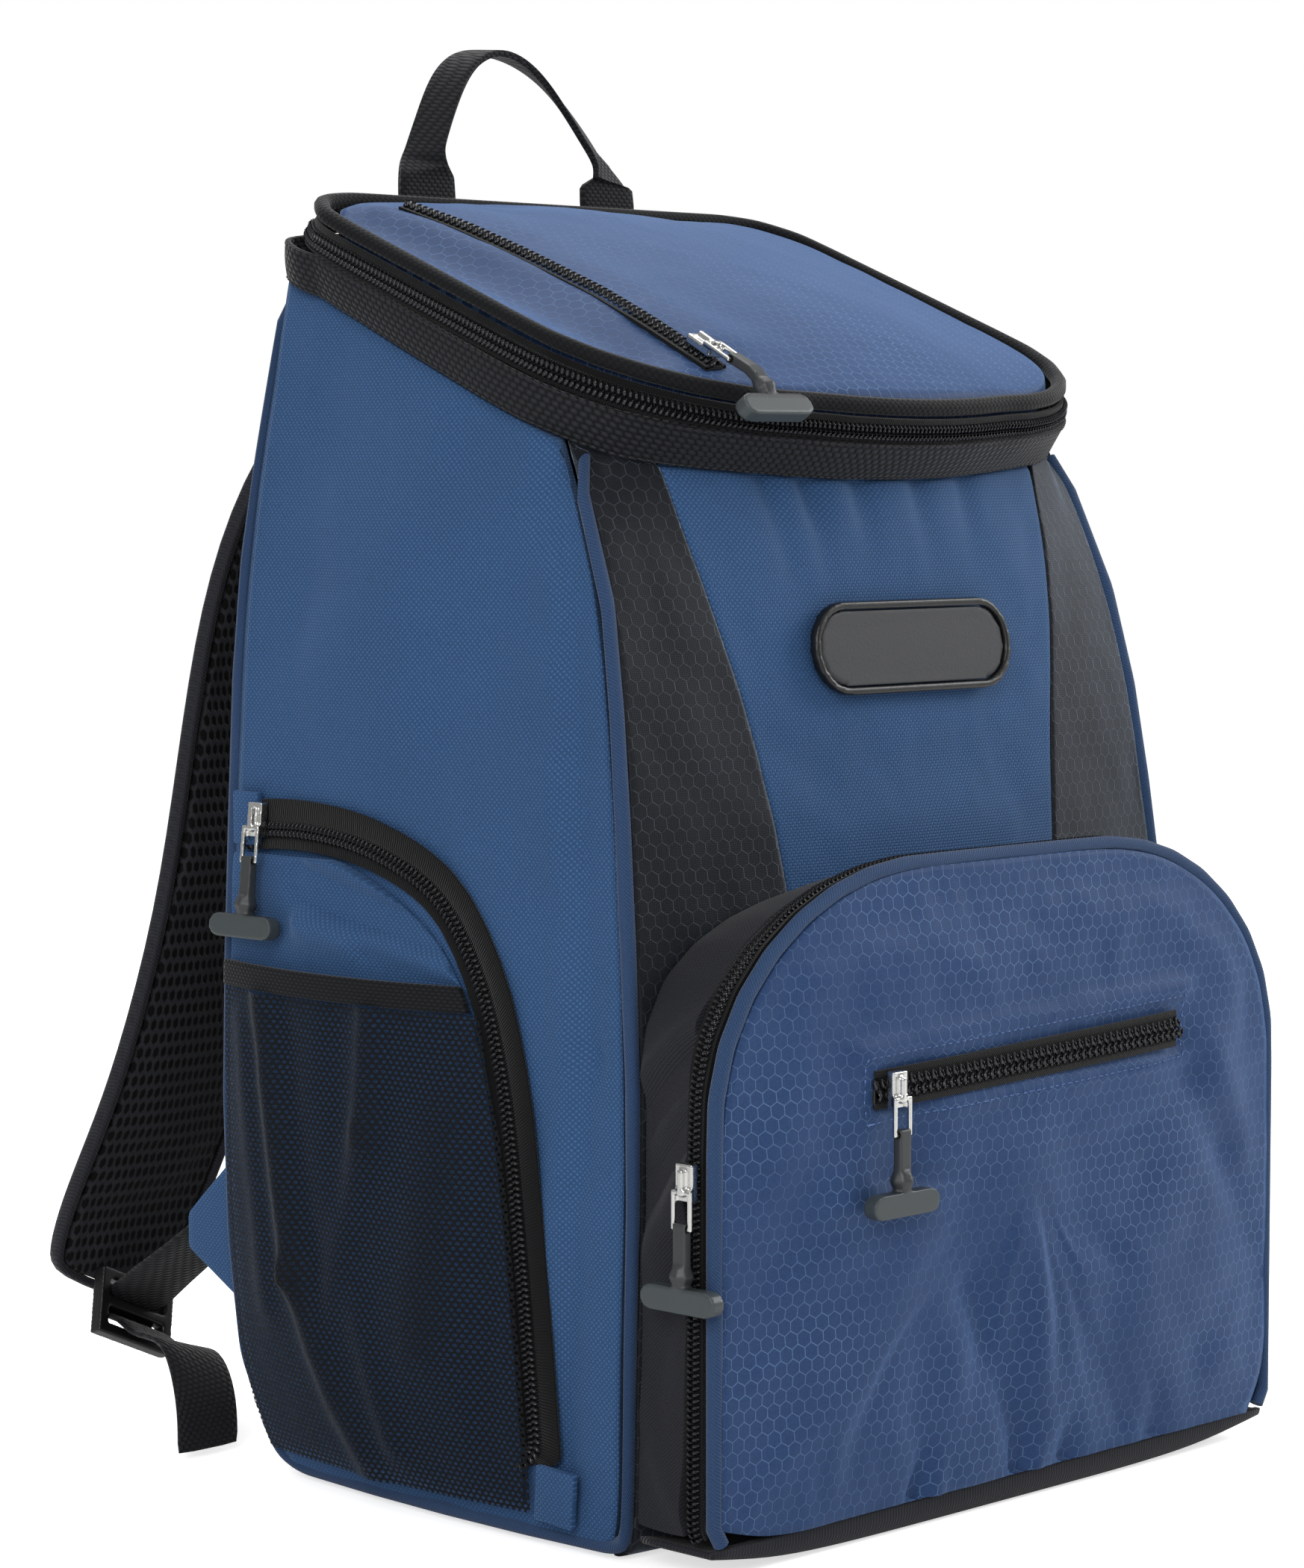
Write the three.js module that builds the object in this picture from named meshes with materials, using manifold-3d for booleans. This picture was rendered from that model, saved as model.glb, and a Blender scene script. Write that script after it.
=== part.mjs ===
// A soft cooler backpack: a padded tub with a slanted opening, a zipped crowned lid,
// a domed front pocket, a zipped and a mesh pocket on each side, and two shoulder straps.
// Millimetres. X runs to the viewer's right of the front, Y to the back, Z up.
// The origin is on the ground, under the middle of the tub.

import * as THREE from 'three';
import { mergeVertices } from 'three/addons/utils/BufferGeometryUtils.js';
import Module from 'manifold-3d';

const wasm = await Module();
wasm.setup();

// Padded tub
const BODY_HALF_WIDTH = 137;
const BODY_FRONT = 91.5;
const BODY_BACK = 90;
const BACK_HEIGHT = 390;
const RIM_SLOPE = 0.42;
const FRONT_BULGE = 12;
const SIDE_BULGE = 3;
const FOOT_RADIUS = 8;
const WALL = 7;
const BASE_THICKNESS = 7;
const GAP = 0.3;

// Piping sewn into the seams round each side
const PIPING_RADIUS = 2;
const PIPING_STAND = 0.6;
const SEAM_MARGIN = 3.2;
const PIPING_FOOT = 5;

// Webbing band, zip and binding round the lid
const BAND_SHARE = 0.6;
const RING_GAP_SHARE = 0.015;
const RING_THICKNESS = 2;
const RING_BULGE = 3;
const HINGE_SHARE = 0.13;
const RIM_CORNER = 14;
const LID_PIPING_RADIUS = 2.8;

// Lid
const LID_NARROWER = 20;
const LID_HALF_WIDTH = BODY_HALF_WIDTH - LID_NARROWER;
const LID_BACK = 85;
const LID_FRONT = 91;
const LID_BACK_HEIGHT = 414;
const LID_SLOPE = 0.4;
const LID_BOW = 5;
const LID_FRONT_CORNER_WIDTH = 70;
const LID_FRONT_CORNER_DEPTH = 56;
const LID_BACK_CORNER = 25;
const LID_CROWN = 9;
const LID_THICKNESS = 7;
const LID_ZIP_WIDTH = 9;
const LID_ZIP_FROM_CENTRE = 73;

// Front pocket
const POCKET_HALF_WIDTH = 137.5;
const POCKET_HEIGHT = 210;
const POCKET_FOOT = 10;
const POCKET_FRONT = 127.5;
const POCKET_SHOULDER_WIDTH = 93;
const POCKET_SHOULDER_HEIGHT = 75;
const POCKET_BULGE = 7;
const POCKET_THICKNESS = 3;
const POCKET_FOOT_CORNER = 6;
const POCKET_BACK_HEIGHT = 200;
const POCKET_BACK_SHOULDER_HEIGHT = 45;
const POCKET_ZIP_WIDTH = 10;
const GUSSET_SLIDER_HEIGHT = 119;
const POCKET_FLOOR_THICKNESS = 2.4;
const FABRIC = 2;

// Small zip across the front pocket
const SMALL_ZIP_HALF_LENGTH = 74;
const SMALL_ZIP_WIDTH = 12;
const SMALL_ZIP_HEIGHT = 143;
const SMALL_ZIP_TILT = 0.034;
const SMALL_ZIP_THICKNESS = 1.6;

// Badge
const BADGE_HEIGHT = 270;
const BADGE_HALF_LENGTH = 47;
const BADGE_RADIUS = 14.5;
const BADGE_THICKNESS = 2.4;
const BADGE_RIM_WIDTH = 2.4;
const BADGE_RIM_RISE = 1;

// Side pockets
const SIDE_POCKET_HEIGHT = 221;
const SIDE_POCKET_DEPTH = 153;
const SIDE_TAPE_WIDTH = 16;
const SIDE_TAPE_THICKNESS = 2;
const SIDE_PANEL_THICKNESS = 1.2;
const SIDE_PANEL_PUFF = 2;
const SIDE_PANEL_TOP = 203;
const MESH_TOP = 160;
const MESH_FOOT = 11;
const MESH_PUFF = 8;
const MESH_MOUTH_PUFF = 5;
const MESH_THICKNESS = 1.2;
const BINDING_HEIGHT = 8;
const BINDING_THICKNESS = 2.2;

// Zip sliders and T-shaped pulls
const SLIDER_WIDTH = 6.6;
const SLIDER_LENGTH = 11;
const SLIDER_THICKNESS = 3;
const LINK_WIDTH = 8;
const LINK_WIRE = 1.4;
const LINK_DROP = 12;
const PULL_STRAP_WIDTH = 5;
const PULL_STRAP_THICKNESS = 3.2;
const PULL_STRAP_LENGTH = 12;
const PULL_BALL_RADIUS = 4;
const PULL_NECK_WIDTH = 4.6;
const PULL_NECK_LENGTH = 5;
const PULL_BAR_LENGTH = 30;
const PULL_BAR_HEIGHT = 7.5;
const PULL_BAR_THICKNESS = 5;

// Carry handle
const HANDLE_HALF_SPAN = 43;
const HANDLE_RISE = 84;
const HANDLE_FOOT = 385;
const HANDLE_STAND = 3.5;
const HANDLE_SWAY = 4;
const HANDLE_WIDTH = 25;
const HANDLE_THICKNESS = 2.4;

// Shoulder straps
const STRAP_TOP = 378;
const STRAP_FOOT = 47;
const STRAP_WIDTH = 60;
const STRAP_THICKNESS = 9;
const STRAP_REACH = 104;
const STRAP_BINDING = 4;
const STRAP_BINDING_THICKNESS = 7;

// Ladder locks, webbing and the navy wings that hold it
const LOCK_WIDTH = 34;
const LOCK_LENGTH = 24;
const LOCK_THICKNESS = 5;
const LOCK_BAR = 4;
const LOCK_PITCH = 0.36;
const LOCK_FROM_STRAP = 8;
const LOCK_DROP = 11;
const WEBBING_WIDTH = 25;
const WEBBING_THICKNESS = 1.8;
const WING_HEIGHT = 58;
const WING_FOOT = 50;
const WING_REACH = 32;
const WING_THICKNESS = 3;
const WING_INSET = 13;

// Level sections of the tub. at is a share of BACK_HEIGHT, frontHalf and backHalf are
// shares of BODY_HALF_WIDTH, front of BODY_FRONT, back of BODY_BACK, bulge of FRONT_BULGE.
const BODY_SECTIONS = [
  { at: 0.0, frontHalf: 0.985, front: 0.985, backHalf: 0.96, back: 0.74, bulge: 0.6 },
  { at: 0.06, frontHalf: 0.99, front: 0.995, backHalf: 0.98, back: 0.89, bulge: 0.8 },
  { at: 0.128, frontHalf: 0.992, front: 1.0, backHalf: 0.992, back: 0.965, bulge: 0.9 },
  { at: 0.256, frontHalf: 0.978, front: 1.0, backHalf: 1.0, back: 1.0, bulge: 0.9 },
  { at: 0.385, frontHalf: 0.956, front: 0.969, backHalf: 1.0, back: 1.0, bulge: 0.85 },
  { at: 0.513, frontHalf: 0.934, front: 0.907, backHalf: 0.985, back: 1.0, bulge: 0.8 },
  { at: 0.641, frontHalf: 0.912, front: 0.836, backHalf: 0.97, back: 1.0, bulge: 0.75 },
  { at: 0.769, frontHalf: 0.876, front: 0.7, backHalf: 0.934, back: 1.0, bulge: 1.1 },
  { at: 0.885, frontHalf: 0.845, front: 0.448, backHalf: 0.869, back: 1.0, bulge: 2.1 },
  { at: 1.0, frontHalf: 0.812, front: 0.164, backHalf: 0.8, back: 1.0, bulge: 2.6 },
];

// Half width of the navy centre panel, as a share of BODY_HALF_WIDTH.
const CENTRE_PANEL = [
  { at: 0.0, half: 0.4 },
  { at: 0.385, half: 0.435 },
  { at: 0.56, half: 0.489 },
  { at: 0.641, half: 0.533 },
  { at: 0.7, half: 0.584 },
  { at: 0.84, half: 0.65 },
  { at: 1.0, half: 0.68 },
];

// Outer edge of the side pocket's zip tape, from the back seam over the arch and down.
// reach is a share of SIDE_POCKET_DEPTH, rise a share of SIDE_POCKET_HEIGHT.
const SIDE_ARCH = [
  { reach: 0.06, rise: 0.995 },
  { reach: 0.216, rise: 1.0 },
  { reach: 0.451, rise: 0.98 },
  { reach: 0.673, rise: 0.914 },
  { reach: 0.81, rise: 0.796 },
  { reach: 0.895, rise: 0.638 },
  { reach: 0.948, rise: 0.434 },
  { reach: 0.987, rise: 0.23 },
  { reach: 1.0, rise: 0.118 },
];

// Half of the carry handle, from its sewn foot to the top of the loop. across is a share
// of HANDLE_HALF_SPAN, rise of HANDLE_RISE, out of HANDLE_STAND, width of HANDLE_WIDTH,
// turn of a quarter turn.
const HANDLE_SECTIONS = [
  { across: 1.0, rise: 0.0, out: 0.0, width: 1.0, turn: 0.0 },
  { across: 1.0, rise: 0.46, out: 0.6, width: 1.0, turn: 0.0 },
  { across: 0.98, rise: 0.52, out: 0.9, width: 0.66, turn: 0.3 },
  { across: 0.94, rise: 0.58, out: 1.2, width: 0.52, turn: 0.5 },
  { across: 0.84, rise: 0.66, out: 1.6, width: 0.5, turn: 0.5 },
  { across: 0.59, rise: 0.845, out: 2.5, width: 0.5, turn: 0.6 },
  { across: 0.32, rise: 0.96, out: 3.2, width: 0.5, turn: 0.85 },
  { across: 0.0, rise: 1.0, out: 3.4, width: 0.5, turn: 1.0 },
];

// Sections of a shoulder strap from top to foot. drop is a share of its height, out a
// share of BODY_HALF_WIDTH for the outer edge, back a share of STRAP_REACH behind the
// back panel, width of STRAP_WIDTH, roll a share of STRAP_ROLL.
const STRAP_ROLL = 0.42;
const STRAP_SECTIONS = [
  { drop: 0.0, out: 0.5, back: 0.0, width: 0.9, roll: 0.0 },
  { drop: 0.025, out: 0.508, back: 0.01, width: 0.914, roll: 0.0 },
  { drop: 0.07, out: 0.56, back: 0.2, width: 0.96, roll: 0.0 },
  { drop: 0.171, out: 0.62, back: 0.44, width: 1.0, roll: 0.0 },
  { drop: 0.298, out: 0.708, back: 0.51, width: 1.0, roll: 0.0 },
  { drop: 0.453, out: 0.788, back: 0.5, width: 1.0, roll: 0.0 },
  { drop: 0.609, out: 0.854, back: 0.51, width: 1.0, roll: 0.05 },
  { drop: 0.767, out: 0.898, back: 0.654, width: 1.0, roll: 0.2 },
  { drop: 0.851, out: 0.912, back: 0.79, width: 1.0, roll: 0.5 },
  { drop: 0.919, out: 0.92, back: 0.913, width: 0.97, roll: 0.8 },
  { drop: 0.975, out: 0.92, back: 0.99, width: 0.88, roll: 1.0 },
  { drop: 1.0, out: 0.9, back: 1.0, width: 0.76, roll: 1.0 },
];

// Course of the adjusting webbing from the wing to the ladder lock, and of its loose end.
// out is a share of BODY_HALF_WIDTH, back of STRAP_REACH behind the back panel, up of
// WING_FOOT, lean the sideways tilt of its width in radians.
const HELD_WEBBING = [
  { out: 0.905, back: 0.316, up: 1.48, lean: 0.1 },
  { out: 0.887, back: 0.5, up: 1.22, lean: 0.25 },
  { out: 0.862, back: 0.7, up: 0.99, lean: 0.36 },
];
const LOOSE_WEBBING = [
  { out: 0.862, back: 0.72, up: 0.5, lean: 0.4 },
  { out: 0.9, back: 0.52, up: 0.6, lean: 0.3 },
  { out: 0.97, back: 0.34, up: 0.54, lean: 0.15 },
  { out: 1.03, back: 0.2, up: 0.32, lean: 0.0 },
  { out: 1.05, back: 0.17, up: 0.05, lean: 0.0 },
];

// Turn of the webbing round the lock's middle bar. out is a share of LOCK_THICKNESS
// towards the strap, up of LOCK_LENGTH from the lock's middle.
const LOCK_TURN = [
  { out: -1.0, up: 0.25 },
  { out: 0.0, up: 0.21 },
  { out: 0.66, up: 0.12 },
  { out: 0.76, up: 0.0 },
  { out: 0.66, up: -0.12 },
  { out: 0.0, up: -0.21 },
  { out: -1.0, up: -0.25 },
];

const NAVY = { color: 0x2f4a80, roughness: 0.75, metalness: 0 };
const NAVY_HEX = { color: 0x35548c, roughness: 0.6, metalness: 0 };
const CHARCOAL_HEX = { color: 0x2b2f36, roughness: 0.6, metalness: 0 };
const BLACK_FABRIC = { color: 0x17181b, roughness: 0.85, metalness: 0 };
const BLACK_WEBBING = { color: 0x1b1c1f, roughness: 0.8, metalness: 0 };
const ZIP_TAPE = { color: 0x141517, roughness: 0.7, metalness: 0 };
const MESH_NET = { color: 0x1f2a3d, roughness: 0.8, metalness: 0 };
const RUBBER = { color: 0x4b5154, roughness: 0.6, metalness: 0 };
const STEEL = { color: 0xc4c4c2, roughness: 0.25, metalness: 1 };
const PLASTIC = { color: 0x1c1e20, roughness: 0.4, metalness: 0 };

const { lerp, clamp } = THREE.MathUtils;
const vector = (x, y, z) => new THREE.Vector3(x, y, z);
const UP = vector(0, 0, 1);
const BACKWARD = vector(0, 1, 0);
const SIDEWAYS = vector(1, 0, 0);

// Even shares from 0 to 1.
function spaced(steps) {
  return Array.from({ length: steps + 1 }, (_, step) => step / steps);
}

// Smooth value of one column of a table at a level.
function column(table, key, at) {
  let row = 0;
  while (row < table.length - 2 && at > table[row + 1].at) row += 1;
  const low = table[row];
  const high = table[row + 1];
  const before = table[Math.max(row - 1, 0)];
  const after = table[Math.min(row + 2, table.length - 1)];
  const span = high.at - low.at;
  const t = clamp((at - low.at) / span, 0, 1);
  const slopeLow = ((high[key] - before[key]) / (high.at - before.at)) * span;
  const slopeHigh = ((after[key] - low[key]) / (after.at - low.at)) * span;
  const square = t * t;
  const cube = square * t;
  return low[key] * (2 * cube - 3 * square + 1) + slopeLow * (cube - 2 * square + t)
    + high[key] * (3 * square - 2 * cube) + slopeHigh * (cube - square);
}

// Closed body from points and triangles, turned so that its faces point out.
function closedBody(points, triangles) {
  let volume = 0;
  for (const [a, b, c] of triangles) {
    volume += points[a].dot(points[b].clone().cross(points[c]));
  }
  const outward = volume > 0 ? triangles : triangles.map(([a, b, c]) => [a, c, b]);
  const geometry = new THREE.BufferGeometry();
  geometry.setAttribute('position', new THREE.Float32BufferAttribute(
    points.flatMap((point) => point.toArray()), 3));
  geometry.setIndex(outward.flat());
  geometry.computeVertexNormals();
  return geometry;
}

// Cloth or padding between an outer and an inner face over the same grid of shares.
function sheet(outer, inner, acrossShares, upShares) {
  const columns = acrossShares.length;
  const rows = upShares.length;
  const points = [];
  for (const face of [outer, inner]) {
    for (const up of upShares) {
      for (const across of acrossShares) points.push(face(across, up));
    }
  }
  const at = (side, i, j) => side * columns * rows + j * columns + i;
  const triangles = [];
  const quad = (a, b, c, d) => triangles.push([a, b, c], [a, c, d]);
  for (let j = 0; j < rows - 1; j += 1) {
    for (let i = 0; i < columns - 1; i += 1) {
      quad(at(0, i, j), at(0, i + 1, j), at(0, i + 1, j + 1), at(0, i, j + 1));
      quad(at(1, i, j), at(1, i, j + 1), at(1, i + 1, j + 1), at(1, i + 1, j));
    }
    quad(at(0, 0, j), at(0, 0, j + 1), at(1, 0, j + 1), at(1, 0, j));
    quad(at(0, columns - 1, j), at(1, columns - 1, j), at(1, columns - 1, j + 1),
      at(0, columns - 1, j + 1));
  }
  for (let i = 0; i < columns - 1; i += 1) {
    quad(at(0, i, 0), at(1, i, 0), at(1, i + 1, 0), at(0, i + 1, 0));
    quad(at(0, i, rows - 1), at(0, i + 1, rows - 1), at(1, i + 1, rows - 1),
      at(1, i, rows - 1));
  }
  return closedBody(points, triangles);
}

// Body through like sections, capped at its ends or joined into a ring.
function loft(sections, ring = false) {
  const sides = sections[0].length;
  const triangles = [];
  const spans = ring ? sections.length : sections.length - 1;
  for (let span = 0; span < spans; span += 1) {
    const here = span * sides;
    const next = ((span + 1) % sections.length) * sides;
    for (let side = 0; side < sides; side += 1) {
      const turn = (side + 1) % sides;
      triangles.push([here + side, next + side, next + turn]);
      triangles.push([here + side, next + turn, here + turn]);
    }
  }
  if (!ring) {
    const last = (sections.length - 1) * sides;
    for (let side = 1; side < sides - 1; side += 1) {
      triangles.push([0, side, side + 1], [last, last + side + 1, last + side]);
    }
  }
  return closedBody(sections.flat(), triangles);
}

// Closed body from two discs of rings, each ending in a middle point.
function discBody(points, ringCount, steps) {
  const side = ringCount * steps + 1;
  const triangles = [];
  for (const face of [0, 1]) {
    const add = (a, b, c) => triangles.push(face === 0 ? [a, b, c] : [a, c, b]);
    for (let ring = 0; ring < ringCount; ring += 1) {
      for (let step = 0; step < steps; step += 1) {
        const here = face * side + ring * steps + step;
        const turn = face * side + ring * steps + ((step + 1) % steps);
        if (ring === ringCount - 1) {
          add(here, turn, face * side + side - 1);
        } else {
          add(here, turn, turn + steps);
          add(here, turn + steps, here + steps);
        }
      }
    }
  }
  for (let step = 0; step < steps; step += 1) {
    const turn = (step + 1) % steps;
    triangles.push([step, side + step, side + turn], [step, side + turn, turn]);
  }
  return closedBody(points, triangles);
}

// Round cord sewn along a line that lies near one plane, whose normal is given.
function roundLoft(line, radius, normal, ring = false) {
  const sides = 5;
  const last = line.length - 1;
  return loft(line.map((point, index) => {
    const ahead = ring ? line[(index + 1) % line.length] : line[Math.min(index + 1, last)];
    const behind = ring ? line[(index + last) % line.length] : line[Math.max(index - 1, 0)];
    const along = ahead.clone().sub(behind).normalize();
    const flat = along.clone().cross(normal).normalize();
    const deep = flat.clone().cross(along).normalize();
    return Array.from({ length: sides }, (_, side) => {
      const angle = ((side + 0.25) / sides) * Math.PI * 2;
      return point.clone()
        .addScaledVector(flat, radius * Math.cos(angle))
        .addScaledVector(deep, radius * Math.sin(angle));
    });
  }), ring);
}

// Solid for joining and cutting.
function toSolid(geometry) {
  const bare = geometry.clone();
  bare.deleteAttribute('normal');
  bare.deleteAttribute('uv');
  const merged = mergeVertices(bare, 1e-4);
  return new wasm.Manifold(new wasm.Mesh({
    numProp: 3,
    vertProperties: new Float32Array(merged.attributes.position.array),
    triVerts: new Uint32Array(merged.index.array),
  }));
}

function fromSolid(solid) {
  const mesh = solid.getMesh();
  const geometry = new THREE.BufferGeometry();
  geometry.setAttribute('position', new THREE.BufferAttribute(mesh.vertProperties, 3));
  geometry.setIndex(new THREE.BufferAttribute(mesh.triVerts, 1));
  geometry.computeVertexNormals();
  return geometry;
}

function joined(geometries) {
  return fromSolid(geometries.map(toSolid).reduce((whole, next) => whole.add(next)));
}

function box(width, depth, height, x, y, z) {
  return new THREE.BoxGeometry(width, depth, height).translate(x, y, z);
}

// Copy reflected in the middle plane of the bag.
function mirrored(geometry) {
  const points = [];
  const position = geometry.attributes.position;
  for (let i = 0; i < position.count; i += 1) {
    points.push(vector(-position.getX(i), position.getY(i), position.getZ(i)));
  }
  const index = geometry.index ? Array.from(geometry.index.array) : points.map((_, i) => i);
  const triangles = [];
  for (let i = 0; i < index.length; i += 3) triangles.push(index.slice(i, i + 3));
  return closedBody(points, triangles);
}

// Height of the slanted opening over a depth.
const rimHeight = (y) => BACK_HEIGHT - RIM_SLOPE * (BODY_BACK - y);

// How far a seam draws in where it rounds the foot of a side.
function footRound(z) {
  const below = Math.max(FOOT_RADIUS - z, 0);
  return FOOT_RADIUS - Math.sqrt(FOOT_RADIUS ** 2 - below ** 2);
}

// Level section of the tub.
function bodyAt(z) {
  const at = z / BACK_HEIGHT;
  return {
    frontHalf: BODY_HALF_WIDTH * column(BODY_SECTIONS, 'frontHalf', at),
    backHalf: BODY_HALF_WIDTH * column(BODY_SECTIONS, 'backHalf', at),
    front: footRound(z) - BODY_FRONT * column(BODY_SECTIONS, 'front', at),
    back: BODY_BACK * column(BODY_SECTIONS, 'back', at) - footRound(z),
    bulge: FRONT_BULGE * column(BODY_SECTIONS, 'bulge', at),
  };
}

const centreHalf = (z) => BODY_HALF_WIDTH * column(CENTRE_PANEL, 'half', z / BACK_HEIGHT);

// Points of the three walls, a depth inside their outer faces.
function frontPoint(x, z, depth) {
  const body = bodyAt(z);
  const half = body.frontHalf - depth;
  return vector(x, body.front + depth - body.bulge * (1 - (x / half) ** 2), z);
}

function sidePoint(share, z, depth) {
  const body = bodyAt(z);
  const x = lerp(body.frontHalf, body.backHalf, share) + SIDE_BULGE * 4 * share * (1 - share);
  return vector(x - depth, lerp(body.front + depth, body.back - depth, share), z);
}

function backPoint(x, z, depth) {
  return vector(x, bodyAt(z).back - depth, z);
}

// Point on the right side wall at a depth and height, standing a little proud of it.
function sideSurface(y, z, proud) {
  const body = bodyAt(z);
  const share = (y - body.front) / (body.back - body.front);
  return sidePoint(share, z, 0).setY(y).add(vector(proud, 0, 0));
}

// One face of a wall that climbs from its foot to the slanted rim.
function climbingFace(pointAt, edgesAt, depth, foot) {
  return (across, up) => {
    let z = foot;
    for (let pass = 0; pass < 8; pass += 1) {
      const [from, to] = edgesAt(z, depth);
      const rim = rimHeight(pointAt(lerp(from, to, across), z, depth).y);
      z = lerp(foot, rim, up);
    }
    const [from, to] = edgesAt(z, depth);
    return pointAt(lerp(from, to, across), z, depth);
  };
}

// Padded wall with mitred edges: the outer face stops short for the piping.
function wall(pointAt, edgesAt, outerFoot, acrossShares, upShares) {
  return sheet(
    climbingFace(pointAt, edgesAt, 0, outerFoot),
    climbingFace(pointAt, edgesAt, WALL, 0),
    acrossShares,
    upShares,
  );
}

const WALL_ROWS = [0, 0.006, 0.016, 0.05, 0.1, 0.18, 0.3, 0.43, 0.56, 0.68, 0.79, 0.9, 1];
const edgeMargin = (depth) => (depth === 0 ? SEAM_MARGIN : GAP);

function sidePanel() {
  const edges = (z, depth) => {
    const body = bodyAt(z);
    const margin = edgeMargin(depth) + (depth === 0 ? footRound(z * 0.4) : 0);
    const share = margin / (body.back - body.front - 2 * depth);
    return [share, 1 - share];
  };
  return wall(sidePoint, edges, PIPING_FOOT, spaced(6), WALL_ROWS);
}

function frontPanel() {
  const edges = (z) => [-centreHalf(z), centreHalf(z)];
  return wall(frontPoint, edges, 0, spaced(8), WALL_ROWS);
}

function wedge() {
  const edges = (z, depth) => {
    const half = bodyAt(z).frontHalf - depth;
    return [centreHalf(z) + GAP, half - edgeMargin(depth)];
  };
  return wall(frontPoint, edges, 0, spaced(4), WALL_ROWS);
}

function backPanel() {
  const edges = (z, depth) => {
    const half = bodyAt(z).backHalf - depth - edgeMargin(depth);
    return [-half, half];
  };
  return wall(backPoint, edges, 0, spaced(4), WALL_ROWS);
}

// Flat padded floor of the tub, inside the feet of its walls.
function basePanel() {
  const inset = WALL + GAP;
  const body = bodyAt(0);
  const half = body.frontHalf - inset - GAP;
  const outline = new THREE.Shape();
  outline.moveTo(body.backHalf - inset - GAP, body.back - inset);
  for (const share of spaced(12)) {
    const x = lerp(half, -half, share);
    outline.lineTo(x, frontPoint(x, 0, inset).y);
  }
  outline.lineTo(inset + GAP - body.backHalf, body.back - inset);
  return new THREE.ExtrudeGeometry(outline, { depth: BASE_THICKNESS, bevelEnabled: false });
}

// Middle of the piping at the front or back seam of the right side. The foot of the
// seam is lifted so that the piping lies on the ground.
function seamPoint(z, end) {
  const body = bodyAt(z);
  const lift = (PIPING_RADIUS + GAP) * (Math.max(FOOT_RADIUS - z, 0) / FOOT_RADIUS);
  if (end === 'front') {
    return vector(body.frontHalf + PIPING_STAND, body.front - PIPING_STAND, z + lift);
  }
  return vector(body.backHalf + PIPING_STAND, body.back + PIPING_STAND, z + lift);
}

// Piping round a side: down the front seam, along the foot and up the back seam.
function sidePiping() {
  const topShare = 0.98;
  const climb = [0.1, 0.2, 0.32, 0.44, 0.56, 0.68, 0.78, 0.88, 1];
  const foot = [1.5, 1, 0.6, 0.25, 0];
  const seam = (top, end) => [
    ...climb.map((share) => seamPoint(top * share, end)).reverse(),
    ...foot.map((share) => seamPoint(FOOT_RADIUS * share, end)),
  ];
  const frontTop = climbingTop((z) => sidePoint(0, z, 0)) * topShare;
  const backTop = climbingTop((z) => sidePoint(1, z, 0)) * topShare;
  const along = [0.25, 0.5, 0.75].map((share) => sidePoint(share, 0, 0)
    .add(vector(PIPING_STAND, 0, PIPING_RADIUS + GAP)));
  const line = [...seam(frontTop, 'front'), ...along, ...seam(backTop, 'back').reverse()];
  return roundLoft(line, PIPING_RADIUS, SIDEWAYS);
}

// Height at which a line up the wall meets the slanted opening.
function climbingTop(pointAt) {
  let z = BACK_HEIGHT;
  for (let pass = 0; pass < 8; pass += 1) z = rimHeight(pointAt(z).y);
  return z;
}

// Closed line round the outer edge of the slanted opening, from the back clockwise.
function bodyRim(steps) {
  const onRim = (pointAt) => pointAt(climbingTop(pointAt));
  const half = [
    onRim((z) => backPoint(0, z, 0)),
    onRim((z) => backPoint(bodyAt(z).backHalf * 0.5, z, 0)),
    onRim((z) => backPoint(bodyAt(z).backHalf - RIM_CORNER, z, 0)),
  ];
  const sideDepth = BODY_BACK * 1.4;
  const cornerShare = RIM_CORNER / sideDepth;
  for (const share of [1 - cornerShare, 0.6, 0.35, cornerShare]) {
    half.push(onRim((z) => sidePoint(share, z, 0)));
  }
  for (const share of [1 - RIM_CORNER / BODY_HALF_WIDTH, 0.68, 0.35, 0]) {
    half.push(onRim((z) => frontPoint(bodyAt(z).frontHalf * share, z, 0)));
  }
  const left = half.slice(1, -1).reverse().map((point) => point.clone().setX(-point.x));
  const curve = new THREE.CatmullRomCurve3([...half, ...left], true, 'centripetal');
  return curve.getSpacedPoints(steps).slice(0, steps);
}

// Plan of the lid, drawn in by an inset, from the middle of the back clockwise.
function lidPlan(inset) {
  const half = LID_HALF_WIDTH - inset;
  const back = LID_BACK - inset;
  const front = LID_FRONT - inset;
  const backCorner = LID_BACK_CORNER - inset;
  const across = LID_FRONT_CORNER_WIDTH - inset;
  const deep = LID_FRONT_CORNER_DEPTH - inset;
  const shoulder = -front + LID_BOW;
  const quarter = Math.PI / 2;
  const path = new THREE.Path();
  path.moveTo(0, back);
  path.lineTo(half - backCorner, back);
  path.absarc(half - backCorner, back - backCorner, backCorner, quarter, 0, true);
  path.lineTo(half, shoulder + deep);
  path.absellipse(half - across, shoulder + deep, across, deep, 0, -quarter, true);
  path.quadraticCurveTo(0, -front - LID_BOW, across - half, shoulder);
  path.absellipse(across - half, shoulder + deep, across, deep, -quarter, -2 * quarter, true);
  path.lineTo(-half, back - backCorner);
  path.absarc(backCorner - half, back - backCorner, backCorner, 2 * quarter, quarter, true);
  path.lineTo(0, back);
  return path;
}

// Height of the middle of the lid's edge over a depth.
const lidHeight = (y) => LID_BACK_HEIGHT - LID_SLOPE * (LID_BACK - y);

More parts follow.
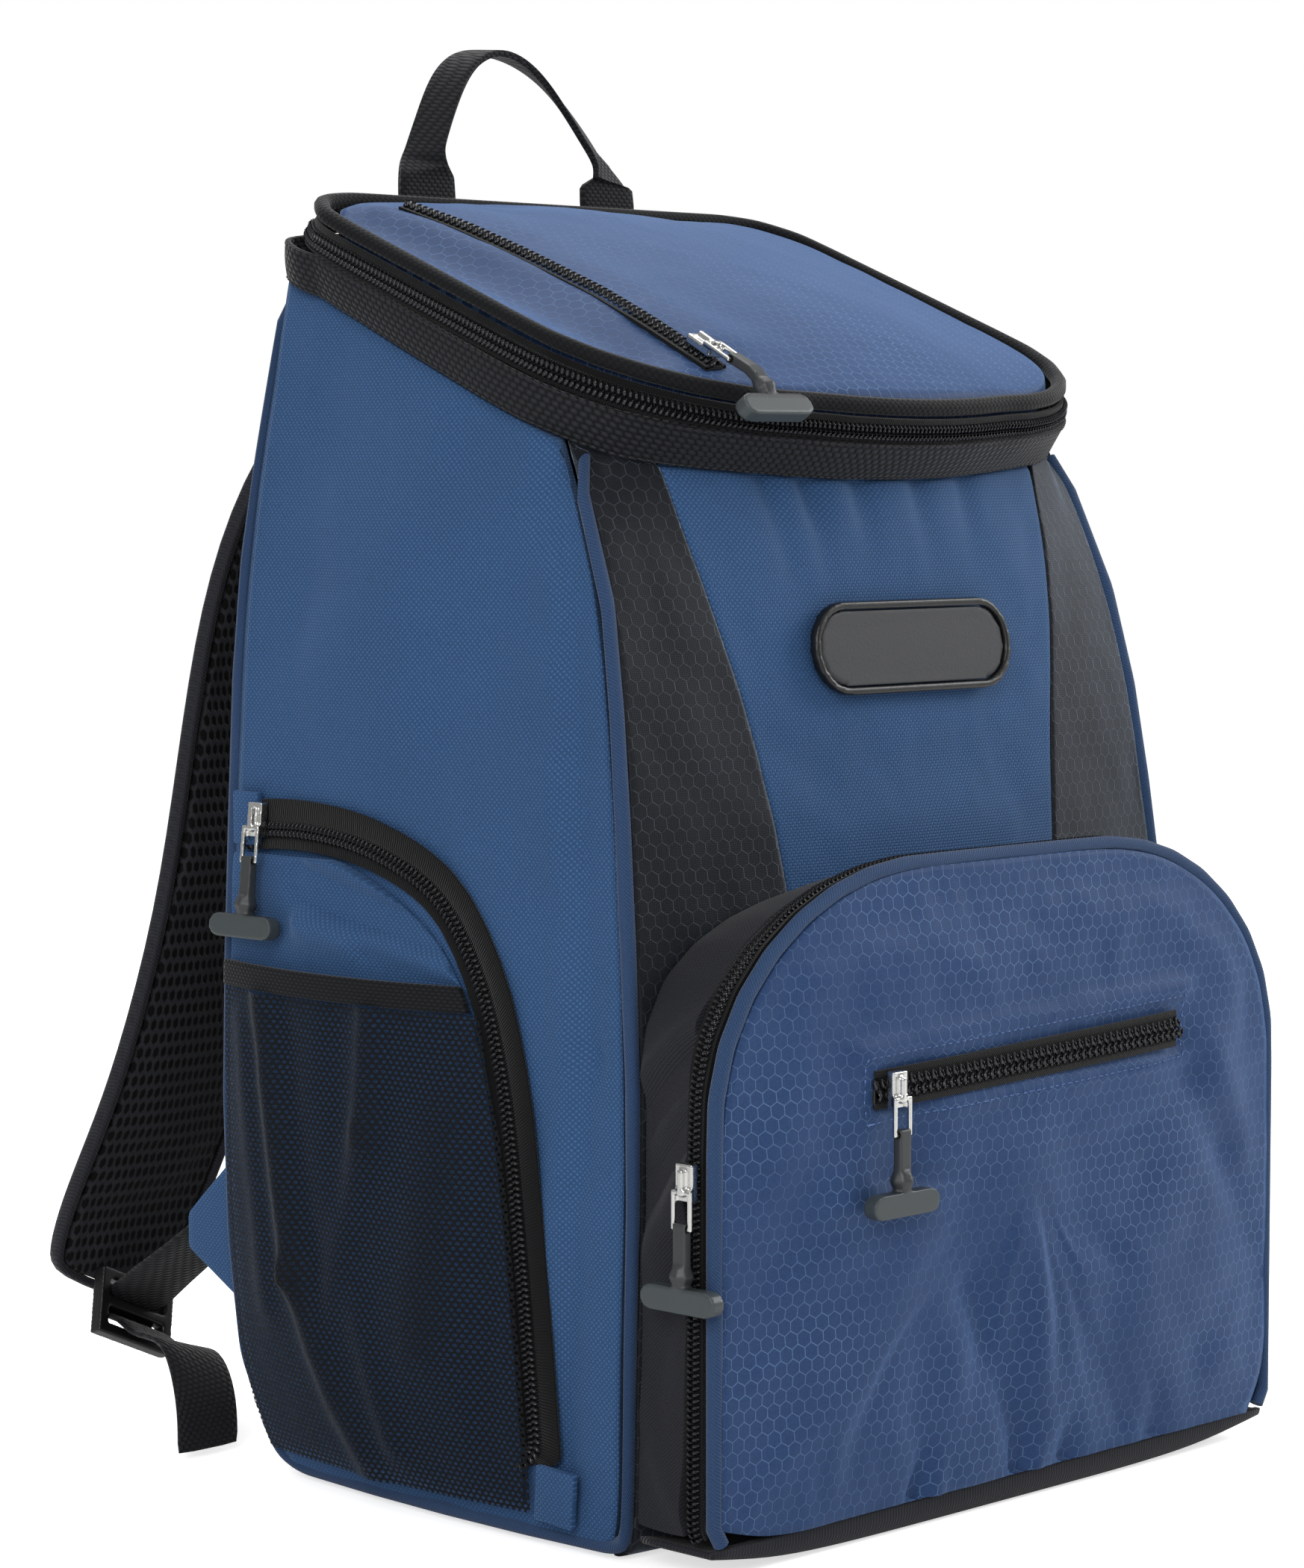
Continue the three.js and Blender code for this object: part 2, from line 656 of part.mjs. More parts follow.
function lidLine(steps, inset, lift) {
  return lidPlan(inset).getSpacedPoints(steps).slice(0, steps)
    .map(({ x, y }) => vector(x, y, lidHeight(y) + lift));
}

const RING_STEPS = 48;
const RIM_LINE = bodyRim(RING_STEPS).map((point) => point.add(vector(0, 0, 2 * GAP)));
const LID_FOOT_LINE = lidLine(RING_STEPS, 1, -LID_PIPING_RADIUS - GAP);

// Point of the surface between the tub's rim and the lid's piping.
function ringPoint(step, rise) {
  const index = (step + RING_STEPS) % RING_STEPS;
  const point = RIM_LINE[index].clone().lerp(LID_FOOT_LINE[index], rise);
  const out = vector(point.x, point.y, 0).normalize();
  return point.addScaledVector(out, RING_BULGE * 4 * rise * (1 - rise));
}

function ringNormal(step, rise) {
  const along = ringPoint(step + 1, rise).sub(ringPoint(step - 1, rise));
  const up = ringPoint(step, Math.min(rise + 0.02, 1)).sub(ringPoint(step, rise - 0.02));
  const normal = along.cross(up).normalize();
  const out = ringPoint(step, rise).setZ(0);
  return normal.dot(out) < 0 ? normal.negate() : normal;
}

// Strip of the ring between two rises, over a run of steps.
function ringSections(firstStep, lastStep, low, high, thickness) {
  const sections = [];
  for (let step = firstStep; step <= lastStep; step += 1) {
    const middle = (low + high) / 2;
    const outer = [low, middle, high].map((rise) => ringPoint(step, rise));
    const inner = [high, middle, low].map((rise) => ringPoint(step, rise)
      .addScaledVector(ringNormal(step, rise), -thickness));
    sections.push([...outer, ...inner]);
  }
  return sections;
}

function rimBand() {
  return loft(ringSections(0, RING_STEPS - 1, 0, BAND_SHARE, RING_THICKNESS), true);
}

const HINGE_STEPS = Math.round(RING_STEPS * HINGE_SHARE);
const UPPER_RING_LOW = BAND_SHARE + RING_GAP_SHARE;

// Strip with flat end caps, from sections of three outer and three inner points.
function openStrip(sections) {
  const outer = (across, up) => sections[Math.round(across * (sections.length - 1))][up * 2];
  const inner = (across, up) => sections[Math.round(across * (sections.length - 1))][5 - up * 2];
  return sheet(outer, inner, spaced(sections.length - 1), [0, 0.5, 1]);
}

function mainZip() {
  const first = HINGE_STEPS;
  const last = RING_STEPS - HINGE_STEPS;
  return openStrip(ringSections(first, last, UPPER_RING_LOW, 1, RING_THICKNESS));
}

function lidHinge() {
  const strip = ringSections(-HINGE_STEPS, HINGE_STEPS, UPPER_RING_LOW, 1, RING_THICKNESS);
  const trimmed = strip.map((section, index) => {
    const neighbour = index === 0 ? strip[1] : strip[index - 1];
    if (index > 0 && index < strip.length - 1) return section;
    return section.map((point, i) => {
      const share = GAP * 2 / point.distanceTo(neighbour[i]);
      return point.clone().lerp(neighbour[i], share);
    });
  });
  return openStrip(trimmed);
}

function lidPiping() {
  return roundLoft(lidLine(RING_STEPS, LID_PIPING_RADIUS, 0), LID_PIPING_RADIUS, UP, true);
}

// Crown of the lid: highest in the middle and falling to its edge.
const LID_INSET = 2 * LID_PIPING_RADIUS + 3 * GAP;
const LID_EDGE = lidLine(144, LID_INSET, 0);

function lidShare(x, y) {
  const angle = Math.atan2(y, x);
  let nearest = LID_EDGE[0];
  let least = Infinity;
  for (const point of LID_EDGE) {
    const away = Math.abs(Math.atan2(
      Math.sin(Math.atan2(point.y, point.x) - angle),
      Math.cos(Math.atan2(point.y, point.x) - angle)));
    if (away < least) {
      least = away;
      nearest = point;
    }
  }
  return Math.hypot(x, y) / Math.hypot(nearest.x, nearest.y);
}

function crownPoint(x, y, proud) {
  const rise = 1 - Math.min(lidShare(x, y), 1) ** 2;
  return vector(x, y, lidHeight(y) + 1 + LID_CROWN * rise + proud);
}

function lidPanel() {
  const steps = 36;
  const line = lidLine(steps, LID_INSET, 0);
  const rings = [1, 0.9, 0.68, 0.36];
  const points = [];
  for (const drop of [0, LID_THICKNESS]) {
    for (const ring of rings) {
      for (const edge of line) {
        points.push(crownPoint(edge.x * ring, edge.y * ring, -drop));
      }
    }
    points.push(crownPoint(0, 0, -drop));
  }
  return discBody(points, rings.length, steps);
}

// Zip tape of the lid pocket, from back to front near the left edge. y is a share of
// LID_BACK and out of LID_ZIP_FROM_CENTRE.
const LID_ZIP_ROWS = [
  { y: 0.72, out: 1.12 },
  { y: 0.46, out: 1.06 },
  { y: 0.18, out: 1.02 },
  { y: -0.2, out: 1.0 },
  { y: -0.48, out: 1.01 },
  { y: -0.8, out: 1.0 },
];

function lidZip() {
  const half = LID_ZIP_WIDTH / 2;
  return loft(LID_ZIP_ROWS.map((row) => {
    const x = -LID_ZIP_FROM_CENTRE * row.out;
    const y = LID_BACK * row.y;
    return [
      crownPoint(x - half, y, 3 * GAP),
      crownPoint(x + half, y, 3 * GAP),
      crownPoint(x + half, y, 3 * GAP + FABRIC),
      crownPoint(x - half, y, 3 * GAP + FABRIC),
    ];
  }));
}

// Front view of the pocket's arch, drawn in by an inset, from the left foot clockwise.
function pocketArch(height, shoulderHeight, inset, foot) {
  const half = POCKET_HALF_WIDTH - inset;
  const top = height - inset;
  const across = POCKET_SHOULDER_WIDTH - inset;
  const up = shoulderHeight - inset;
  const path = new THREE.Path();
  path.moveTo(-half, foot);
  path.lineTo(-half, top - up);
  path.absellipse(across - half, top - up, across, up, Math.PI, Math.PI / 2, true);
  path.lineTo(half - across, top);
  path.absellipse(half - across, top - up, across, up, Math.PI / 2, 0, true);
  path.lineTo(half, foot);
  return path;
}

// Domed navy front of the pocket.
function pocketFront() {
  const steps = 36;
  const inset = 2 * PIPING_RADIUS + 2 * GAP;
  const foot = POCKET_FOOT + GAP;
  const arch = pocketArch(POCKET_HEIGHT, POCKET_SHOULDER_HEIGHT, inset, foot + POCKET_FOOT_CORNER);
  const base = POCKET_HALF_WIDTH - inset - POCKET_FOOT_CORNER;
  arch.quadraticCurveTo(POCKET_HALF_WIDTH - inset, foot, base, foot);
  arch.lineTo(-base, foot);
  arch.quadraticCurveTo(inset - POCKET_HALF_WIDTH, foot, inset - POCKET_HALF_WIDTH,
    foot + POCKET_FOOT_CORNER);
  const line = arch.getSpacedPoints(steps).slice(0, steps);
  const middle = (POCKET_HEIGHT + POCKET_FOOT) / 2;
  const rings = [1, 0.86, 0.66, 0.36];
  const place = (x, z, share, depth) => vector(
    x,
    -POCKET_FRONT - POCKET_BULGE * (1 - share ** 2.2) + depth,
    z,
  );
  const points = [];
  for (const depth of [0, POCKET_THICKNESS]) {
    for (const ring of rings) {
      for (const edge of line) {
        points.push(place(edge.x * ring, middle + (edge.y - middle) * ring, ring, depth));
      }
    }
    points.push(place(0, middle, 0, depth));
  }
  return discBody(points, rings.length, steps);
}

// Black strips behind the pocket's piping: the zip tape, then the gusset to the tub.
const ARCH_STEPS = 36;

// Point just in front of the tub, standing off more where its side piping runs.
function clearOfFront(x, z) {
  const share = Math.min(Math.abs(x) / bodyAt(z).frontHalf, 1);
  return frontPoint(x, z, 0).add(vector(0, -2 * GAP - (SEAM_MARGIN - GAP) * share ** 8, 0));
}

function pocketLines() {
  const foot = POCKET_FOOT + POCKET_FLOOR_THICKNESS + GAP;
  const frontArch = pocketArch(POCKET_HEIGHT, POCKET_SHOULDER_HEIGHT, 1, foot);
  const backArch = pocketArch(POCKET_BACK_HEIGHT, POCKET_BACK_SHOULDER_HEIGHT, 1, foot);
  const front = frontArch.getSpacedPoints(ARCH_STEPS)
    .map(({ x, y }) => vector(x, -POCKET_FRONT + 2 * PIPING_RADIUS + 4 * GAP, y));
  const back = backArch.getSpacedPoints(ARCH_STEPS).map(({ x, y }) => {
    const body = bodyAt(y);
    const reach = body.frontHalf / POCKET_HALF_WIDTH;
    return clearOfFront(x * reach, y);
  });
  return { front, back };
}

const POCKET_LINES = pocketLines();

function gussetPoint(step, depth) {
  const index = clamp(step, 0, ARCH_STEPS);
  return POCKET_LINES.front[index].clone().lerp(POCKET_LINES.back[index], depth);
}

function gussetSections(low, high) {
  return spaced(ARCH_STEPS).map((_, step) => {
    const along = gussetPoint(step + 1, low).sub(gussetPoint(step - 1, low));
    const back = gussetPoint(step, high).sub(gussetPoint(step, low));
    const normal = along.cross(back).normalize();
    const inward = normal.dot(vector(0, 0, POCKET_HEIGHT / 2).sub(gussetPoint(step, low)));
    if (inward < 0) normal.negate();
    return [
      ...[low, high].map((depth) => gussetPoint(step, depth)),
      ...[high, low].map((depth) => gussetPoint(step, depth).addScaledVector(normal, FABRIC)),
    ];
  });
}

// Share of the gusset's depth that the zip takes, at its narrowest.
const ZIP_DEPTH_SHARE = POCKET_ZIP_WIDTH / (POCKET_FRONT - BODY_FRONT);

function pocketZip() {
  return loft(gussetSections(0, ZIP_DEPTH_SHARE));
}

function pocketGusset() {
  return loft(gussetSections(ZIP_DEPTH_SHARE + 0.012, 1));
}

function pocketPiping() {
  const foot = POCKET_FOOT + GAP;
  const line = pocketArch(POCKET_HEIGHT, POCKET_SHOULDER_HEIGHT, PIPING_RADIUS, foot)
    .getSpacedPoints(ARCH_STEPS)
    .map(({ x, y }) => vector(x, -POCKET_FRONT + PIPING_RADIUS, y));
  return roundLoft(line, PIPING_RADIUS, BACKWARD);
}

// Black floor of the pocket, turned up in front under the navy panel.
function pocketBase() {
  const half = POCKET_HALF_WIDTH - FABRIC - 4 * GAP;
  const rise = (share) => (POCKET_FOOT - POCKET_FLOOR_THICKNESS - GAP) * (share ** 6);
  const face = (depth) => (across, along) => {
    const share = 2 * across - 1;
    const x = half * share;
    const low = rise(Math.abs(share));
    const back = clearOfFront(x, FOOT_RADIUS * 1.3).y - GAP;
    const front = -POCKET_FRONT + PIPING_RADIUS;
    const lip = Math.max(POCKET_FOOT - low, POCKET_FLOOR_THICKNESS);
    const flat = Math.min(along / 0.6, 1);
    const turn = Math.max((along - 0.6) / 0.4, 0) * (Math.PI / 2);
    const y = lerp(back, front + lip * 0.5, flat) - (lip * 0.5) * Math.sin(turn);
    const z = low + Math.min(lip, POCKET_FOOT - low) * (1 - Math.cos(turn));
    return vector(x, y + depth * Math.sin(turn), z + depth * Math.cos(turn));
  };
  return sheet(face(0), face(POCKET_FLOOR_THICKNESS), spaced(10), [0, 0.6, 0.72, 0.86, 1]);
}

// Outer face of the domed front over a point of its front view.
function domeDepth(x, z) {
  const middle = (POCKET_HEIGHT + POCKET_FOOT) / 2;
  const across = Math.abs(x) / POCKET_HALF_WIDTH;
  const up = Math.abs(z - middle) / (middle - POCKET_FOOT);
  return -POCKET_FRONT - POCKET_BULGE * (1 - Math.max(across, up) ** 2.2);
}

function smallZip() {
  const columns = 8;
  const sections = spaced(columns).map((share) => {
    const x = lerp(-SMALL_ZIP_HALF_LENGTH, SMALL_ZIP_HALF_LENGTH, share);
    const z = SMALL_ZIP_HEIGHT + x * SMALL_ZIP_TILT;
    const low = z - SMALL_ZIP_WIDTH / 2;
    const high = z + SMALL_ZIP_WIDTH / 2;
    const front = domeDepth(x, z) - 2 * GAP;
    return [
      vector(x, front, low),
      vector(x, front - SMALL_ZIP_THICKNESS, low),
      vector(x, front - SMALL_ZIP_THICKNESS, high),
      vector(x, front, high),
    ];
  });
  return loft(sections);
}

function badgeOutline(halfLength, radius) {
  const straight = halfLength - radius;
  const quarter = Math.PI / 2;
  const outline = new THREE.Shape();
  outline.moveTo(-straight, -radius);
  outline.lineTo(straight, -radius);
  outline.absarc(straight, 0, radius, -quarter, quarter, false);
  outline.lineTo(-straight, radius);
  outline.absarc(-straight, 0, radius, quarter, 3 * quarter, false);
  return outline;
}

// Plate bent to the front panel: flat outline points are laid on the tub's front.
function laidOnFront(outline, holes, low, high) {
  outline.holes.push(...holes);
  const geometry = new THREE.ExtrudeGeometry(outline, {
    depth: high - low, bevelEnabled: false, curveSegments: 6,
  });
  const position = geometry.attributes.position;
  for (let i = 0; i < position.count; i += 1) {
    const x = position.getX(i);
    const z = BADGE_HEIGHT + position.getY(i);
    const lift = low + position.getZ(i);
    position.setXYZ(i, x, badgeFloor(z) - lift, z);
  }
  geometry.computeVertexNormals();
  return geometry;
}

const badgeFloor = (z) => Math.min(
  frontPoint(0, z, 0).y,
  frontPoint(0, BADGE_HEIGHT, 0).y + (z - BADGE_HEIGHT) * 0.12,
) - 2 * GAP;

function badge() {
  const inset = BADGE_RIM_WIDTH + GAP;
  const face = badgeOutline(BADGE_HALF_LENGTH - inset, BADGE_RADIUS - inset);
  return laidOnFront(face, [], 0, BADGE_THICKNESS);
}

function badgeRim() {
  const outer = badgeOutline(BADGE_HALF_LENGTH, BADGE_RADIUS);
  const inner = badgeOutline(BADGE_HALF_LENGTH - BADGE_RIM_WIDTH, BADGE_RADIUS - BADGE_RIM_WIDTH);
  return laidOnFront(outer, [inner], 0, BADGE_THICKNESS + BADGE_RIM_RISE);
}

// Arch of the right side pocket in depth and height, and its inner edge.
function sideArchLines() {
  const back = BODY_BACK - SEAM_MARGIN;
  const curve = new THREE.CatmullRomCurve3(SIDE_ARCH.map(({ reach, rise }) => vector(
    0, back - reach * SIDE_POCKET_DEPTH, rise * SIDE_POCKET_HEIGHT)), false, 'centripetal');
  const outer = curve.getSpacedPoints(24);
  const inner = outer.map((point, index) => {
    const ahead = outer[Math.min(index + 1, outer.length - 1)];
    const behind = outer[Math.max(index - 1, 0)];
    const along = ahead.clone().sub(behind).normalize();
    return point.clone().add(vector(0, -along.z, along.y).multiplyScalar(SIDE_TAPE_WIDTH));
  });
  return { outer, inner };
}

const SIDE_LINES = sideArchLines();

// Depth of the arch's inner edge at a height.
function archInnerDepth(z) {
  const inner = SIDE_LINES.inner;
  for (let i = 0; i < inner.length - 1; i += 1) {
    const high = inner[i];
    const low = inner[i + 1];
    if (z <= high.z && z > low.z) return lerp(low.y, high.y, (z - low.z) / (high.z - low.z));
  }
  const last = inner[inner.length - 1];
  return z <= last.z ? last.y : inner[0].y;
}

const sidePocketBack = (z) => bodyAt(z).back - SEAM_MARGIN - 2 * GAP;

function sideZip() {
  const low = 2 * GAP;
  const high = low + SIDE_TAPE_THICKNESS;
  return loft(SIDE_LINES.outer.map((outer, index) => {
    const inner = SIDE_LINES.inner[index];
    return [
      sideSurface(outer.y, outer.z, low),
      sideSurface(inner.y, inner.z, low),
      sideSurface(inner.y, inner.z, high),
      sideSurface(outer.y, outer.z, high),
    ];
  }));
}

// Stand of the navy pocket panel and of the mesh from the side wall, over the width of
// the pocket from its front edge to its back edge.
const panelStand = (share) => 2 * GAP + SIDE_PANEL_PUFF * Math.sin(Math.PI * share);

function meshStand(share, up) {
  const puff = lerp(MESH_PUFF, MESH_MOUTH_PUFF, up) * Math.min(up * 4 + 0.15, 1);
  return panelStand(share) + SIDE_PANEL_THICKNESS + 2 * GAP + puff * Math.sin(Math.PI * share) ** 0.7;
}

function sidePocketPoint(share, z, proud, margin = 2 * GAP) {
  const front = archInnerDepth(z) + margin;
  return sideSurface(lerp(front, sidePocketBack(z), share), z, proud);
}

function sidePocketPanel() {
  const face = (lift) => (share, up) => {
    const z = lerp(MESH_FOOT, SIDE_PANEL_TOP, up);
    return sidePocketPoint(share, z, panelStand(share) + lift);
  };
  const rows = [0, 0.1, 0.2, 0.36, 0.56, 0.75, 0.9, 1];
  return sheet(face(SIDE_PANEL_THICKNESS), face(0), spaced(8), rows);
}

function sideMesh() {
  const top = MESH_TOP - GAP;
  const face = (lift) => (share, up) => {
    const z = lerp(MESH_FOOT, top, up);
    return sidePocketPoint(share, z, meshStand(share, up) + lift);
  };
  return sheet(face(MESH_THICKNESS), face(0), spaced(8), [0, 0.12, 0.26, 0.48, 0.75, 1]);
}

function sideBinding() {
  return loft(spaced(8).map((share) => {
    const low = meshStand(share, 1);
    const high = low + BINDING_THICKNESS;
    const top = MESH_TOP + BINDING_HEIGHT;
    return [
      sidePocketPoint(share, MESH_TOP, low),
      sidePocketPoint(share, MESH_TOP, high),
      sidePocketPoint(share, top, high),
      sidePocketPoint(share, top, low),
    ];
  }));
}

// Metal slider on a zip, with the wire link that carries its pull. It stands out along
// its own -Y and hangs along its own -Z.
function slider() {
  const half = SLIDER_LENGTH / 2;
  const out = -SLIDER_THICKNESS;
  const side = (LINK_WIDTH - LINK_WIRE) / 2;
  const eye = out - LINK_WIRE / 2;
  return joined([
    box(SLIDER_WIDTH, SLIDER_THICKNESS, SLIDER_LENGTH, 0, out / 2, 0),
    box(LINK_WIRE * 1.4, LINK_WIRE * 1.6, SLIDER_LENGTH * 0.7, 0, eye, 0),
    box(LINK_WIDTH, LINK_WIRE, LINK_WIRE, 0, eye, -half * 0.5),
    box(LINK_WIRE, LINK_WIRE, LINK_DROP, -side, eye, -half * 0.5 - LINK_DROP / 2 + LINK_WIRE / 2),
    box(LINK_WIRE, LINK_WIRE, LINK_DROP, side, eye, -half * 0.5 - LINK_DROP / 2 + LINK_WIRE / 2),
    box(LINK_WIDTH, LINK_WIRE, LINK_WIRE, 0, eye, -half * 0.5 - LINK_DROP + LINK_WIRE),
  ]);
}

// Height of the link's lower bar and its distance out, in the slider's own frame.
const BAR_DROP = SLIDER_LENGTH * 0.25 + LINK_DROP - LINK_WIRE;
const BAR_OUT = SLIDER_THICKNESS + LINK_WIRE / 2;

// Course of a pull's strap from the link's bar: out and drop in the slider's own frame.
const STRAIGHT_STRAP = [
  { out: BAR_OUT, drop: BAR_DROP - PULL_STRAP_THICKNESS / 2 },
  { out: BAR_OUT, drop: BAR_DROP + PULL_STRAP_LENGTH },
];
const BENT_STRAP = [
  { out: BAR_OUT, drop: BAR_DROP - PULL_STRAP_THICKNESS / 2 },
  { out: BAR_OUT + 0.4, drop: BAR_DROP + PULL_STRAP_LENGTH * 0.6 },
  { out: BAR_OUT - 0.2, drop: BAR_DROP + PULL_STRAP_LENGTH * 0.9 },
  { out: BAR_OUT - 1.4, drop: BAR_DROP + PULL_STRAP_LENGTH * 1.1 },
];

// Rubber T-shaped pull round the link's lower bar.
function pull(strap) {
  const middle = strap.map(({ out, drop }) => vector(0, -out, -drop));
  const along = middle.map((point, index) => {
    const ahead = middle[Math.min(index + 1, middle.length - 1)];
    const behind = middle[Math.max(index - 1, 0)];
    return ahead.clone().sub(behind).normalize();
  });
  const half = PULL_STRAP_WIDTH / 2;
  const deep = PULL_STRAP_THICKNESS / 2;
  const ribbon = loft(middle.map((point, index) => {
    const thick = vector(0, -along[index].z, along[index].y);
    return [[-half, -deep], [half, -deep], [half, deep], [-half, deep]]
      .map(([x, lift]) => point.clone().add(vector(x, 0, 0)).addScaledVector(thick, lift));
  }));
  const end = middle[middle.length - 1];
  const heading = along[along.length - 1];
  const tilt = Math.atan2(heading.y, -heading.z);
  const hung = (geometry) => geometry.rotateX(tilt).translate(end.x, end.y, end.z);
  const ball = new THREE.SphereGeometry(PULL_BALL_RADIUS, 7, 4).rotateX(Math.PI / 2);
  const disc = new THREE.CylinderGeometry(
    PULL_BAR_HEIGHT / 2, PULL_BAR_HEIGHT / 2, PULL_BAR_THICKNESS, 10);
  const reach = PULL_BAR_LENGTH / 2 - PULL_BAR_HEIGHT / 2;
  const neck = PULL_BALL_RADIUS + PULL_NECK_LENGTH;
  const whole = joined([
    ribbon,
    hung(ball.translate(0, 0, -PULL_BALL_RADIUS / 2)),
    hung(box(PULL_NECK_WIDTH, PULL_STRAP_THICKNESS, neck, 0, 0, -neck / 2)),
    hung(box(2 * reach, PULL_BAR_THICKNESS, PULL_BAR_HEIGHT, 0, 0, -neck)),
    hung(disc.clone().translate(reach, 0, -neck)),
    hung(disc.clone().translate(-reach, 0, -neck)),
  ]);
  const eye = LINK_WIRE + 2 * GAP;
  const hole = toSolid(box(PULL_STRAP_WIDTH * 2, eye, eye, 0, -BAR_OUT, -BAR_DROP));
  return fromSolid(toSolid(whole).subtract(hole));
}

// Half of the handle's loop is mirrored. Its webbing is sewn flat, folded narrow above its
// feet and turned a quarter turn at the top.
function handle() {
  const section = (row, sign) => {
    const centre = vector(
      sign * HANDLE_HALF_SPAN * row.across - HANDLE_SWAY * row.rise ** 2,
      BODY_BACK + 2 * GAP + HANDLE_THICKNESS / 2 + HANDLE_STAND * row.out,
      HANDLE_FOOT + HANDLE_RISE * row.rise,
    );
    return { centre, width: HANDLE_WIDTH * row.width, turn: row.turn };
  };
  const left = HANDLE_SECTIONS.map((row) => section(row, -1));
  const right = HANDLE_SECTIONS.slice(0, -1).reverse().map((row) => section(row, 1));
  const stations = [...left, ...right];
  return loft(stations.map((station, index) => {
    const ahead = stations[Math.min(index + 1, stations.length - 1)].centre;
    const behind = stations[Math.max(index - 1, 0)].centre;
    const along = ahead.clone().sub(behind).normalize();
    const inPlane = vector(along.z, 0, -along.x);
    const angle = station.turn * (Math.PI / 2);
    const across = inPlane.clone().multiplyScalar(Math.cos(angle))
      .add(vector(0, -Math.sin(angle), 0));
    if (station.turn === 0) across.set(1, 0, 0);
    const thick = along.clone().cross(across).normalize();
    const half = station.width / 2;
    const deep = HANDLE_THICKNESS / 2;
    return [[-half, -deep], [half, -deep], [half, deep], [-half, deep]].map(([a, b]) => (
      station.centre.clone().addScaledVector(across, a).addScaledVector(thick, b)));
  }));
}

// Middle line and width of the right shoulder strap at each section.
function strapStations() {
  const drop = STRAP_TOP - STRAP_FOOT;
  return STRAP_SECTIONS.map((row) => {
    const roll = STRAP_ROLL * row.roll;
    const across = vector(Math.cos(roll), 0, Math.sin(roll));
    const outer = vector(
      BODY_HALF_WIDTH * row.out,
      BODY_BACK + 2 * GAP + STRAP_THICKNESS / 2 + STRAP_REACH * row.back,
      STRAP_TOP - drop * row.drop,
    );
    const width = STRAP_WIDTH * row.width;
    return { outer, across, width };
  });
}

const STRAP_LINE = strapStations();

function strapFrame(index) {
  const { outer, across, width } = STRAP_LINE[index];
  const ahead = STRAP_LINE[Math.min(index + 1, STRAP_LINE.length - 1)].outer;
  const behind = STRAP_LINE[Math.max(index - 1, 0)].outer;
  const along = ahead.clone().sub(behind).setX(0).normalize();
  const normal = across.clone().cross(along).normalize();
  return { outer, across, width, along, normal };
}

function shoulderStrap() {
  const inset = STRAP_BINDING + GAP;
  const face = (side) => (share, up) => {
    const frame = strapFrame(Math.round(up * (STRAP_LINE.length - 1)));
    const half = (STRAP_THICKNESS / 2) * (0.75 + 0.25 * Math.sin(Math.PI * share));
    const last = up === 1 ? -inset : 0;
    return frame.outer.clone()
      .addScaledVector(frame.across, -lerp(inset, frame.width - inset, share))
      .addScaledVector(frame.along, last)
      .addScaledVector(frame.normal, side * half);
  };
  return sheet(face(1), face(-1), spaced(4), spaced(STRAP_LINE.length - 1));
}

// Bound edge round the strap: down its outer edge, across its foot and up again.
function strapBinding() {
  const half = STRAP_BINDING_THICKNESS / 2;
  const section = (frame, edge, inward) => [[0, -half], [0, half], [1, half], [1, -half]]
    .map(([share, lift]) => edge.clone()
      .addScaledVector(inward, share * STRAP_BINDING)
      .addScaledVector(frame.normal, lift));
  const frames = STRAP_LINE.map((_, index) => strapFrame(index));
  const outerRun = frames.map((frame, index) => {
    const inward = frame.across.clone().negate();
    if (index === frames.length - 1) inward.addScaledVector(frame.along, -1);
    return section(frame, frame.outer, inward);
  });
  const innerRun = [...frames].reverse().map((frame, index) => {
    const edge = frame.outer.clone().addScaledVector(frame.across, -frame.width);
    const inward = frame.across.clone();
    if (index === 0) inward.addScaledVector(frame.along, -1);
    return section(frame, edge, inward);
  });
  return loft([...outerRun, ...innerRun]);
}

// Lock's place on the strap's inner face near its foot, pitched and rolled with it.
function lockPlacement() {
  const foot = strapFrame(STRAP_LINE.length - 2);
  const place = foot.outer.clone()
    .addScaledVector(foot.across, -foot.width / 2)
    .add(vector(0, -STRAP_THICKNESS / 2 - LOCK_FROM_STRAP - LOCK_THICKNESS / 2, -LOCK_DROP));
  return new THREE.Matrix4().makeTranslation(place)
    .multiply(new THREE.Matrix4().makeRotationY(-STRAP_ROLL))
    .multiply(new THREE.Matrix4().makeRotationX(-LOCK_PITCH));
}

const LOCK_PLACEMENT = lockPlacement();

// Course of the webbing: its middle points and the direction of its width.
function webbingLine() {
  const free = (row) => ({
    centre: vector(
      BODY_HALF_WIDTH * row.out - WEBBING_WIDTH / 2,
      BODY_BACK + STRAP_REACH * row.back,
      WING_FOOT * row.up,
    ),
    across: vector(Math.cos(row.lean), 0, Math.sin(row.lean)),
  });
  const turned = (row) => ({
    centre: vector(0, LOCK_THICKNESS * row.out, LOCK_LENGTH * row.up)
      .applyMatrix4(LOCK_PLACEMENT),
    across: SIDEWAYS.clone().transformDirection(LOCK_PLACEMENT),
  });
  return [...HELD_WEBBING.map(free), ...LOCK_TURN.map(turned), ...LOOSE_WEBBING.map(free)];
}

const WEBBING_LINE = webbingLine();

function webbing() {
  return loft(WEBBING_LINE.map(({ centre, across }, index) => {
    const ahead = WEBBING_LINE[Math.min(index + 1, WEBBING_LINE.length - 1)].centre;
    const behind = WEBBING_LINE[Math.max(index - 1, 0)].centre;
    const along = ahead.clone().sub(behind).normalize();
    const thick = along.clone().cross(across).normalize();
    const half = WEBBING_WIDTH / 2;
    const deep = WEBBING_THICKNESS / 2;
    return [[-half, -deep], [half, -deep], [half, deep], [-half, deep]].map(([a, b]) => (
      centre.clone().addScaledVector(across, a).addScaledVector(thick, b)));
  }));
}

